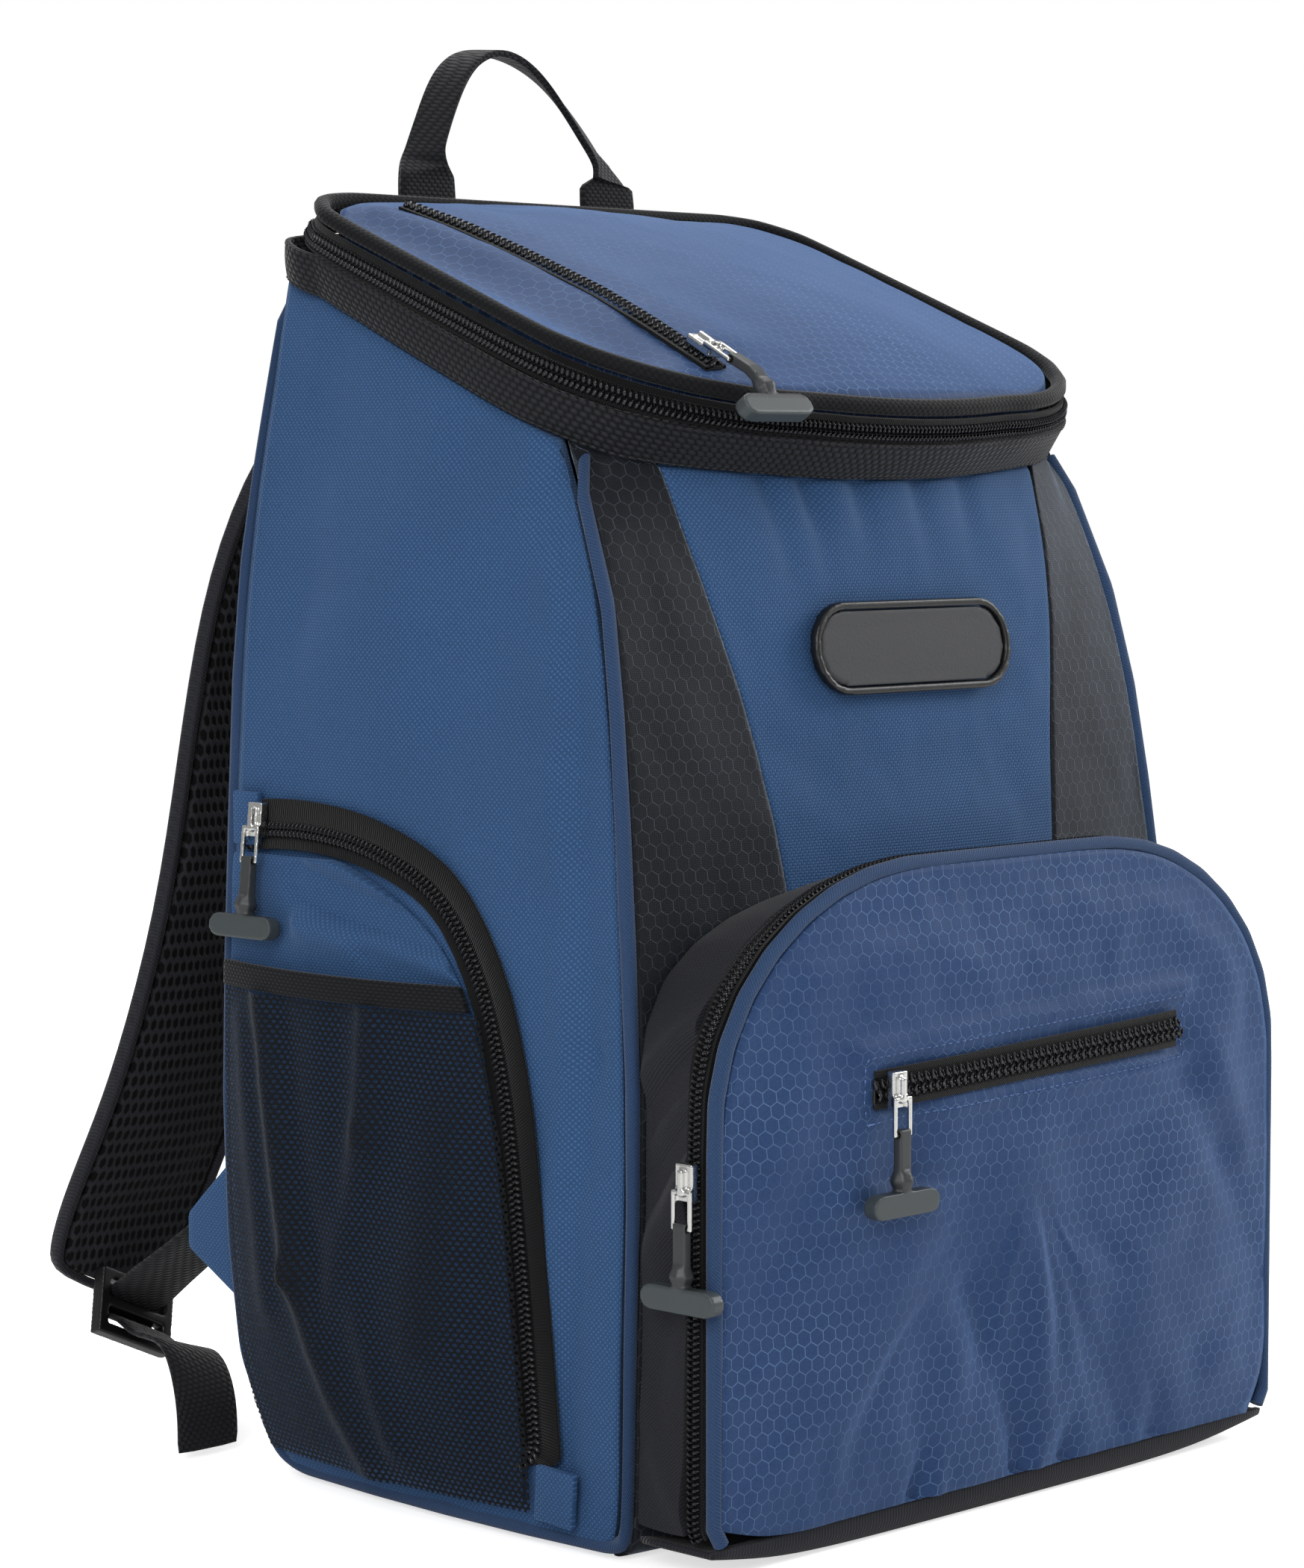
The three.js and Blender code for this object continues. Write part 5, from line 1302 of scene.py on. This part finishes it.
@dataclass
class Tub:
    """Padded walls of the bag, its piping and its floor."""

    fill: float = 0.7
    cord: float = 2.5 * MM
    draw_in: float = 1.8 * MM
    tuck: float = 2 * MM
    deepest: float = 7 * MM
    over_end: float = 12 * MM
    side_folds: tuple[Fold, ...] = fold_rows(
        (-66, 20, -72, 150, 5, -2.2, -2.0), (-72, 150, -55, 300, 5, -2.0, -1.4),
        (-57, 20, -63, 150, 4, 1.4, 1.4), (-63, 150, -46, 300, 4, 1.4, 1.0),
        (-20, 250, 10, 330, 30, -1.2, -0.5), (60, 240, 75, 350, 14, -1.0, -0.8),
        (20, 300, 40, 380, 22, 1.2, 0.6), (-43, 350, -46, 325, 6, -3.0, -2.0),
        (-46, 325, -56, 300, 6, -2.0, 0.0), (-32, 352, -36, 300, 9, 2.0, 0.8),
        (56, 360, 62, 240, 12, -1.4, -1.0), (5, 350, 14, 250, 22, 1.4, 1.2),
    )
    front_folds: tuple[Fold, ...] = fold_rows(
        (-51, 334, -47, 284, 5, -5.0, 0.0), (-34, 334, -31, 284, 5, -5.4, 0.0),
        (-9, 336, -13, 286, 5.5, -5.0, 0.0), (20, 336, 14, 290, 5.5, -4.2, 0.0),
        (46, 336, 38, 292, 5.5, -4.0, 0.0), (-42, 332, -41, 306, 4, 1.6, 0.0),
        (-22, 332, -23, 306, 5, 1.4, 0.0), (6, 332, 4, 306, 6, 1.4, 0.0),
        (-62, 240, 60, 236, 16, -1.0, -0.6),
    )

    def build(self) -> None:
        """Makes the walls, the floor and the piping."""
        for side, sign in SIDES:
            sewn = tuple(f"side_{part}_{side}"
                         for part in ("zip", "mesh", "binding", "pocket_panel"))
            Padding(finish=NAVY_WEAVE, plane=Plane.SIDE, crease=1.0, out=X_AXIS * sign,
                    folds=self.side_folds, fill=self.fill, rim=22 * MM, pressure=1.2,
                    cap=3.5 * MM, sewn=sewn).lay(f"side_panel_{side}")
            Cover(finish=CHARCOAL_HEX, plane=Plane.FRONT, crease=0.8, out=-Y_AXIS, ripple=0.8,
                  fill=self.fill).lay(f"wedge_{side}")
        Padding(finish=NAVY_WEAVE, plane=Plane.FRONT, crease=0.9, out=-Y_AXIS,
                folds=self.front_folds, fill=self.fill, rim=18 * MM, pressure=1.0,
                cap=3 * MM, sewn=("badge", "badge_rim")).lay("front_panel")
        Cover(finish=BLACK_TWILL, plane=Plane.FRONT, crease=0.8, out=Y_AXIS, ripple=0.9,
              fill=self.fill).lay("back_panel")
        Cover(finish=BLACK_TWILL, plane=Plane.LID, crease=0.9, levels=2,
              fill=0.9).lay("base_panel")
        for side, sign in SIDES:
            self.piping(side, sign)

    def piping(self, side: str, sign: int) -> None:
        """Makes the navy piping round one side.

        Args:
            side: right or left.
            sign: 1 on the right and -1 on the left.
        """
        node = f"side_piping_{side}"
        low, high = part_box(node)
        hub = Vector((0, 0, (low.z + high.z) / 2))
        rows = opened(stations_around(node, hub, X_AXIS * sign, Y_AXIS, 0, 359.5, 720,
                                      flat=False))
        rows = [row for row in rows if row.depth < self.deepest]
        rows = extended(even_out(rows, FINE_STEP, smooth=2)[3:-3], self.over_end)
        inward = -np.array(X_AXIS) * sign * self.tuck
        for row in rows:
            row.centre = row.centre + inward
        for row in (rows[0], rows[-1]):
            row.centre = row.centre + 2 * inward
        piece = round_strip(rows, self.cord, f"{node}_cloth", draw_in=self.draw_in)
        finish_piece(piece, NAVY_BINDING, [node])


@dataclass
class Rim:
    """Band, zip and hinge round the opening."""

    corner: float = 24 * MM
    corner_push: float = 5 * MM
    corner_gain: float = 2.2
    band: tuple[float, float] = (1.8 * MM, 0.6 * MM)
    hinge: tuple[float, float] = (1.6 * MM, 0.5 * MM)
    over_end: float = 8 * MM
    stitch_share: float = 0.44
    stitch_sunk: float = 0.4 * MM
    stitch_size: tuple[float, float, float] = (1.1 * MM, 0.28 * MM, 0.28 * MM)

    def rows(self, node: str) -> list[Station]:
        """Sections of a ring about the bag's upright axis."""
        return opened(stations_around(node, Vector(), Z_AXIS, Y_AXIS, 0, 359.5, 480))

    def build(self) -> None:
        """Makes the band, the zip and the hinge."""
        rows = even_out(self.rows("rim_band"), STEP, closed=True, smooth=6)
        self.square_corners(rows)
        band = ribbon(rows, band_profile(*self.band), "rim_band_webbing", closed=True)
        finish_piece(band, COARSE_WEBBING, ["rim_band"])
        for name, share in (("low", -self.stitch_share), ("high", self.stitch_share)):
            self.stitch(rows, share, f"rim_band_stitches_{name}")
        rows = extended(even_out(self.rows("main_zip"), STEP, smooth=6), self.over_end)
        Zip(pitch=1.9 * MM, coil_width=5.6 * MM, coil_rise=1.1 * MM, share=-0.08).build(
            rows, "main_zip")
        rows = extended(even_out(self.rows("lid_hinge"), STEP, smooth=4), self.over_end)
        hinge = ribbon(rows, band_profile(*self.hinge), "lid_hinge_cloth")
        finish_piece(hinge, BLACK_TWILL, ["lid_hinge"])

    def square_corners(self, rows: Sequence[Station]) -> None:
        """Carries the band out to the bag's two back corners.

        Args:
            rows: the band's stations, which are moved.
        """
        side = max(row.centre[0] for row in rows) - self.corner
        back = max(row.centre[1] for row in rows) - self.corner
        for row in rows:
            near = [np.clip((abs(row.centre[0]) - side) / self.corner, 0, 1),
                    np.clip((row.centre[1] - back) / self.corner, 0, 1)]
            push = self.corner_push * min(self.corner_gain * near[0] * near[1], 1.0)
            row.centre = row.centre + push * np.array([np.sign(row.centre[0]), 1, 0])

    def stitch(self, rows: Sequence[Station], share: float, name: str) -> None:
        """Sews a line of stitches along the band.

        Args:
            rows: the band's stations.
            share: place across the band.
            name: the piece's name.
        """
        line = [s.moved(s.across * s.width * share - s.out * self.stitch_sunk) for s in rows]
        piece = grains(even_out(line, STEP, closed=True), [(0, 0, 0, 0)], self.stitch_size,
                       name, closed=True)
        finish_piece(piece, THREAD_BLACK)


@dataclass
class Lid:
    """Crowned lid with its piping and its own zip."""

    cord: float = 2.7 * MM
    folds: tuple[Fold, ...] = fold_rows(
        (0, 50, 0, -40, 60, 4.0, 4.0), (-102, 66, -94, -50, 10, -4.4, -3.6),
        (-90, 66, -74, -30, 6, 2.0, 1.6), (-60, 60, -55, -50, 12, 1.2, 2.0),
        (-30, 70, 60, 78, 10, -1.0, -0.6), (60, -50, 95, -10, 14, -0.8, -0.8),
    )

    def build(self) -> None:
        """Makes the lid."""
        Padding(finish=NAVY_HEX, plane=Plane.LID, crease=0.7, out=Z_AXIS, folds=self.folds,
                fill=0.8, rim=20 * MM, pressure=1.6, cap=3 * MM, sewn=("lid_zip",),
                slack=0.0).lay("lid_panel")
        rows = stations_around("lid_piping", Vector(), Z_AXIS, Y_AXIS, 0, 359.5, 480, flat=False)
        piping = round_strip(even_out(rows, FINE_STEP, closed=True, smooth=6), self.cord,
                             "lid_piping_cloth", closed=True)
        finish_piece(piping, BLACK_BINDING, ["lid_piping"])
        rows = stations_along("lid_zip", Y_AXIS, -X_AXIS, Z_AXIS, X_AXIS, 0.2 * MM, 60)
        Zip(pitch=2.4 * MM, coil_width=5.4 * MM, coil_rise=1.3 * MM).build(
            even_out(rows, FINE_STEP, smooth=4), "lid_zip")


@dataclass
class FrontPocket:
    """Domed pocket on the front, its gusset, its zip and the small zip across it."""

    hub_height: float = 100 * MM
    cord: float = 2.5 * MM
    draw_in: float = 1.4 * MM
    over_end: float = 5 * MM
    tuck: float = 3 * MM
    gusset: tuple[float, float] = (1.6 * MM, 0.6 * MM)
    seam_left: float = 4 * MM
    seam_right: float = 7 * MM
    seam_rise: float = 10 * MM
    gusset_folds: tuple[Fold, ...] = fold_rows(
        (-118, 158, -90, 128, 5, -3.4, -2.4), (-118, 170, -90, 144, 4, 2.8, 2.0),
        (-118, 136, -90, 104, 5, -2.8, -1.8), (-118, 124, -92, 88, 5, 2.2, 1.4),
        (-110, 96, -98, 40, 6, -2.4, -1.2), (-114, 20, -92, 52, 5, 1.6, 1.0),
    )
    folds: tuple[Fold, ...] = fold_rows(
        (-25, 73, 4, 18, 7, -3.4, -2.0), (-40, 70, -18, 22, 8, 1.8, 1.0),
        (-2, 86, 18, 26, 8, 2.6, 1.4), (42, 77, 60, 100, 8, -1.8, -0.8),
        (40, 60, 52, 20, 9, -1.6, -1.4), (77, 138, 104, 100, 9, -2.4, -1.6),
        (104, 100, 127, 62, 8, -1.6, -0.6), (92, 140, 118, 104, 8, 1.6, 0.8),
        (-94, 125, -116, 84, 9, -2.2, -1.0), (-57, 128, -70, 96, 12, -2.6, -1.4),
        (-60, 165, -109, 118, 12, 1.8, 1.0), (-44, 24, -46, 6, 4, -1.4, -5.0),
        (-36, 20, -37, 8, 3, 0.6, 2.4), (3, 26, 4, 6, 4, -1.4, -5.0),
        (11, 20, 12, 8, 3, 0.6, 2.2), (25, 24, 27, 8, 4, -1.0, -4.0),
        (70, 26, 72, 8, 5, -0.8, -3.0), (-80, 152, 82, 158, 3.2, 2.2, 2.2),
        (-80, 131, 82, 135, 3.2, 1.8, 1.8),
    )

    def build(self) -> None:
        """Makes the pocket."""
        Padding(finish=NAVY_HEX, plane=Plane.FRONT, crease=1.0, out=-Y_AXIS, folds=self.folds,
                ripple=0.8, fill=0.6, rim=16 * MM, pressure=1.2, cap=2.5 * MM,
                sewn=("small_zip",)).lay("pocket_front")
        rows = self.rows("pocket_piping", FINE_STEP, flat=False)[2:-2]
        rows = extended(rows, self.over_end)
        for row in (rows[0], rows[-1]):
            row.centre = row.centre - np.array(X_AXIS) * math.copysign(self.tuck, row.centre[0])
        piping = round_strip(rows, self.cord, "pocket_piping_cloth", draw_in=self.draw_in)
        finish_piece(piping, NAVY_BINDING, ["pocket_piping"])
        Zip(pitch=1.9 * MM, coil_width=5.4 * MM, coil_rise=1.1 * MM).build(
            self.rows("pocket_zip", FINE_STEP), "pocket_zip")
        gusset = ribbon(self.rows("pocket_gusset", STEP), band_profile(*self.gusset),
                        "pocket_gusset_cloth")
        round_off(gusset, 1, 0.6)
        press_folds(gusset, self.gusset_folds, -X_AXIS, ripple=0.9)
        finish_piece(gusset, BLACK_TWILL, ["pocket_gusset"])
        Cover(finish=BLACK_TWILL, plane=Plane.LID, crease=0.8, levels=2).lay("pocket_base")
        self.small_zip()

    def rows(self, node: str, pitch: float, flat: bool = True) -> list[Station]:
        """Sections of a strip over the pocket's arch."""
        hub = Vector((0, 0, self.hub_height))
        rows = stations_around(node, hub, -Y_AXIS, Z_AXIS, -150, 150, 600, flat=flat)
        return even_out(rows, pitch, smooth=5)

    def small_zip(self) -> None:
        """Makes the small zip and the stitches round it."""
        rows = stations_along("small_zip", X_AXIS, -Y_AXIS, -Y_AXIS, Z_AXIS, 0.3 * MM, 30)
        Zip(pitch=3.2 * MM, coil_width=7 * MM, coil_rise=1.1 * MM).build(
            even_out(rows, FINE_STEP, smooth=2), "small_zip")
        left, right = Vector(rows[0].centre), Vector(rows[-1].centre)
        left.x -= self.seam_left
        right.x += self.seam_right
        rise = Z_AXIS * self.seam_rise
        Seam().lay(bpy.data.objects["pocket_front_cloth"],
                   [left - rise, right - rise, right + rise, left + rise], -Y_AXIS,
                   "small_zip_stitches", THREAD_NAVY)


@dataclass
class SidePocket:
    """Zipped pocket and mesh pocket of one side; sign is 1 on the right, -1 on the left."""

    side: str
    sign: int
    patch_depth: float = 2.4 * MM
    patch_round: float = 0.5 * MM
    net_reach: float = 5 * MM
    net_drop: float = 0.5 * MM
    net_facing: float = 0.35
    net_slack: float = 1.02
    hub_back: float = 30 * MM
    hub_rise: float = 40 * MM
    mesh_folds: tuple[Fold, ...] = fold_rows(
        (62, 161, 43, 72, 6, 4.2, 4.2), (43, 72, 11, 10, 6, 4.2, 2.6),
        (50, 150, 30, 60, 7, -1.5, -1.0), (10, 166, 10, 120, 5, 3.6, 2.6),
        (10, 120, 26, 60, 6, 2.6, 1.2), (-1, 24, 13, 68, 5, 2.4, 1.4),
        (-20, 130, -14, 60, 12, 2.0, 3.0), (24, 155, 20, 100, 6, -1.2, -0.8),
        (74, 150, 60, 60, 6, 2.0, 2.0), (-36, 120, -40, 30, 6, -1.4, -1.4),
    )
    panel_folds: tuple[Fold, ...] = fold_rows(
        (44, 206, -8, 192, 5, 5.0, 3.0), (50, 194, -16, 180, 5, -5.0, -3.0),
        (48, 182, -26, 170, 5, 4.6, 2.6), (20, 176, -32, 164, 4, -3.4, -2.0),
    )

    @property
    def out(self) -> Vector:
        """The direction that the pocket looks in."""
        return X_AXIS * self.sign

    def build(self) -> None:
        """Makes the pocket's zip, panel, mesh and elastic."""
        Cover(finish=NAVY_WEAVE, plane=Plane.SIDE, crease=0.4, out=self.out,
              folds=self.panel_folds, ripple=0.6).lay(f"side_pocket_panel_{self.side}")
        self.net()
        Cover(finish=ELASTIC, plane=Plane.SIDE, crease=0.8).lay(f"side_binding_{self.side}")
        self.arch_zip()

    def patch(self, label: str, spot: tuple[float, float], size: tuple[float, float],
              lean: float) -> None:
        """Sews a small navy patch over an end of the zip.

        Args:
            label: the end's name.
            spot: its middle over the side, in millimetres.
            size: its depth and height in metres.
            lean: its turn in radians.
        """
        start = Vector((0, spot[0] * MM, spot[1] * MM)) + self.out * 0.3
        tree = tree_of(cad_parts[f"side_zip_{self.side}"])
        found = tree.find_nearest(tree.ray_cast(start, -self.out)[0] or start - self.out * 0.16)
        edited = bmesh.new()
        turned = Matrix.Rotation(lean, 4, "X") @ Matrix.Diagonal((self.patch_depth, *size, 1))
        place = Matrix.Translation((found[0].x, start.y, start.z)) @ turned
        bmesh.ops.create_cube(edited, size=1.0, matrix=place)
        bmesh.ops.bevel(edited, geom=edited.edges, offset=self.patch_round, segments=2, profile=0.5,
                        affect="EDGES", material=-1)
        piece = to_object(edited, f"side_zip_{self.side}_{label}_patch")
        finish_piece(piece, NAVY_WEAVE, plane=Plane.SIDE)

    def net(self) -> None:
        """Makes the mesh as one sheet in place of its solid."""
        node = f"side_mesh_{self.side}"
        low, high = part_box(node)
        piece = node_copy(node, f"{node}_net", crease=1.0, levels=3)
        corner = Matrix.Translation((0, -high.y, -high.z))
        grown = [1 + self.net_reach / (high.y - low.y), 1 + self.net_drop / (high.z - low.z)]
        with editing(piece) as edited:
            inner = [face for face in edited.faces
                     if face.normal.dot(self.out) < self.net_facing]
            bmesh.ops.delete(edited, geom=inner, context="FACES")
            bmesh.ops.scale(edited, vec=(1, *grown), space=corner, verts=edited.verts)
            area = sum(face.calc_area() for face in edited.faces)
        press_folds(piece, self.mesh_folds, self.out, ripple=0.7)
        finish_piece(piece, MESH_NET, [node], Plane.SIDE)

    def arch_zip(self) -> None:
        """Makes the arched zip."""
        node = f"side_zip_{self.side}"
        low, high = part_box(node)
        hub = Vector((0, high.y - self.hub_back, low.z + self.hub_rise))
        rows = opened(stations_around(node, hub, self.out, Y_AXIS, 0, 359, 720,
                                      outward=self.out))
        Zip(pitch=1.9 * MM, coil_width=5.2 * MM, coil_rise=1.1 * MM, share=0.12).build(
            even_out(rows, FINE_STEP, smooth=5), node)
        self.patch("low", (-65, 17), (16 * MM, 17 * MM), 0.06)
        self.patch("high", (78, 214), (12 * MM, 17 * MM), 0.0)


@dataclass
class Pulls:
    """Zip sliders and their rubber pulls, each with a paler bar at its foot."""

    bar_height: float = 7.5 * MM
    names: tuple[str, ...] = ("lid", "small", "gusset", "side_right", "side_left", "main")

    def build(self) -> None:
        """Makes every slider and pull."""
        for name in self.names:
            cast(f"{name}_slider", NICKEL, 0.4 * MM, 2)
            pull = cast(f"{name}_pull", GREY_RUBBER, 0.5 * MM, 4)
            pull.data.materials.append(PALE_RUBBER.material(Plane.STRIP))
            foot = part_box(f"{name}_pull")[0].z + self.bar_height
            for face in pull.data.polygons:
                face.material_index = int(face.center.z < foot)


@dataclass
class Badge:
    """Bare oval badge in its raised rim."""

    plate_voxel: float = 0.8 * MM
    rim_voxel: float = 0.7 * MM

    def build(self) -> None:
        """Makes the plate and its rim."""
        cast("badge", BADGE_RUBBER, self.plate_voxel, 3)
        cast("badge_rim", BLACK_PLASTIC, self.rim_voxel, 3)


@dataclass
class Carrying:
    """Handle, shoulder straps, webbing and ladder locks."""

    pad_rim: float = 6 * MM
    pad_cap: float = 2.5 * MM
    lock_voxel: float = 0.6 * MM

    def build(self) -> None:
        """Makes the handle and both straps."""
        Cover(finish=FINE_WEBBING, plane=Plane.FRONT, crease=0.9,
              ending="webbing").lay("carry_handle")
        for side, _ in SIDES:
            self.strap(side)

    def strap(self, side: str) -> None:
        """Makes one shoulder strap and what is on it, for right or left."""
        Padding(finish=AIR_MESH, plane=Plane.FRONT, crease=0.3, fill=0.7, ending="pad",
                rim=self.pad_rim, pressure=3.0, cap=self.pad_cap).lay(f"shoulder_strap_{side}")
        Cover(finish=BLACK_TWILL, plane=Plane.FRONT, crease=0.2, levels=2,
              ending="tape").lay(f"strap_binding_{side}")
        Cover(finish=FINE_WEBBING, plane=Plane.FRONT, crease=0.9,
              levels=2).lay(f"strap_webbing_{side}")
        Cover(finish=NAVY_WEAVE, plane=Plane.SIDE, crease=0.8,
              out=X_AXIS).lay(f"webbing_wing_{side}")
        cast(f"ladder_lock_{side}", BLACK_PLASTIC, self.lock_voxel, 3)


@dataclass
class Studio:
    """Floor, light and camera, set as the photograph is."""

    azimuth: float = 45.8
    elevation: float = 4.3
    distance: float = 1.3936
    target: tuple[float, float, float] = (-0.0313, 0.0, 0.2232)
    focal_pixels: float = 5721.0
    picture_height: float = 2100.0
    sensor: float = 36.0
    floor_size: float = 30.0
    room: float = 0.4
    glow: float = 0.65
    lamps: tuple[tuple, ...] = (
        ("overhead", (0.3, 0.5, 1.8), (0, 0, 0.25), 1.5, 20.0),
        ("key", (2.0, -1.0, 1.3), (0, 0, 0.2), 1.2, 32.0),
        ("fill", (-2.0, -1.2, 1.3), (0, 0, 0.2), 1.4, 34.0),
    )

    def build(self) -> None:
        """Makes the studio."""
        edited = bmesh.new()
        bmesh.ops.create_grid(edited, x_segments=1, y_segments=1, size=self.floor_size / 2)
        floor = to_object(edited, "floor")
        paint, graph, shader = painted("floor_paint", Base_Color=linear("f4f4f4"),
                                       Roughness=0.6, Emission_Color=linear("ffffff"))
        seen = graph.node("LightPath").outputs["Is Camera Ray"]
        graph.feed(shader.inputs["Emission Strength"], graph.ramp(seen, 0, 1, 0, self.glow))
        floor.data.materials.append(paint)
        self.lights()
        self.camera()
        view = bpy.context.scene.view_settings
        view.view_transform = "Standard"
        view.look = "None"

    def lights(self) -> None:
        """Hangs the lamps and lights the room."""
        for name, place, aim, size, power in self.lamps:
            data = bpy.data.lights.new(name, "AREA")
            data.shape = "SQUARE"
            data.size = size
            data.energy = power
            lamp = bpy.data.objects.new(name, data)
            lamp.location = place
            lamp.rotation_euler = (Vector(aim) - Vector(place)).to_track_quat("-Z", "Y").to_euler()
            bpy.context.scene.collection.objects.link(lamp)
        world = bpy.data.worlds.new("room")
        world.use_nodes = True
        graph = Graph(world.node_tree)
        background = world.node_tree.nodes["Background"]
        background.inputs["Color"].default_value = linear("ffffff")
        seen = graph.node("LightPath").outputs["Is Camera Ray"]
        graph.feed(background.inputs["Strength"], graph.ramp(seen, 0, 1, self.room, 1.0))
        bpy.context.scene.world = world

    def camera(self) -> None:
        """Puts the camera where the photograph was taken from."""
        turn, rise = math.radians(self.azimuth), math.radians(self.elevation)
        back = Vector((-math.sin(turn) * math.cos(rise), -math.cos(turn) * math.cos(rise),
                       math.sin(rise)))
        data = bpy.data.cameras.new("camera")
        data.sensor_width = self.sensor
        data.lens = self.focal_pixels / self.picture_height * self.sensor
        camera = bpy.data.objects.new("camera", data)
        camera.location = Vector(self.target) + back * self.distance
        camera.rotation_euler = back.to_track_quat("Z", "Y").to_euler()
        bpy.context.scene.collection.objects.link(camera)
        bpy.context.scene.camera = camera


def main() -> None:
    """Builds the bag and its studio in order."""
    logging.basicConfig(level=logging.INFO, format="%(message)s")
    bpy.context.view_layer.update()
    Tub().build()
    Rim().build()
    Lid().build()
    FrontPocket().build()
    for side, sign in SIDES:
        SidePocket(side, sign).build()
    Pulls().build()
    Badge().build()
    Carrying().build()
    Studio().build()


if __name__ == "__main__":
    main()
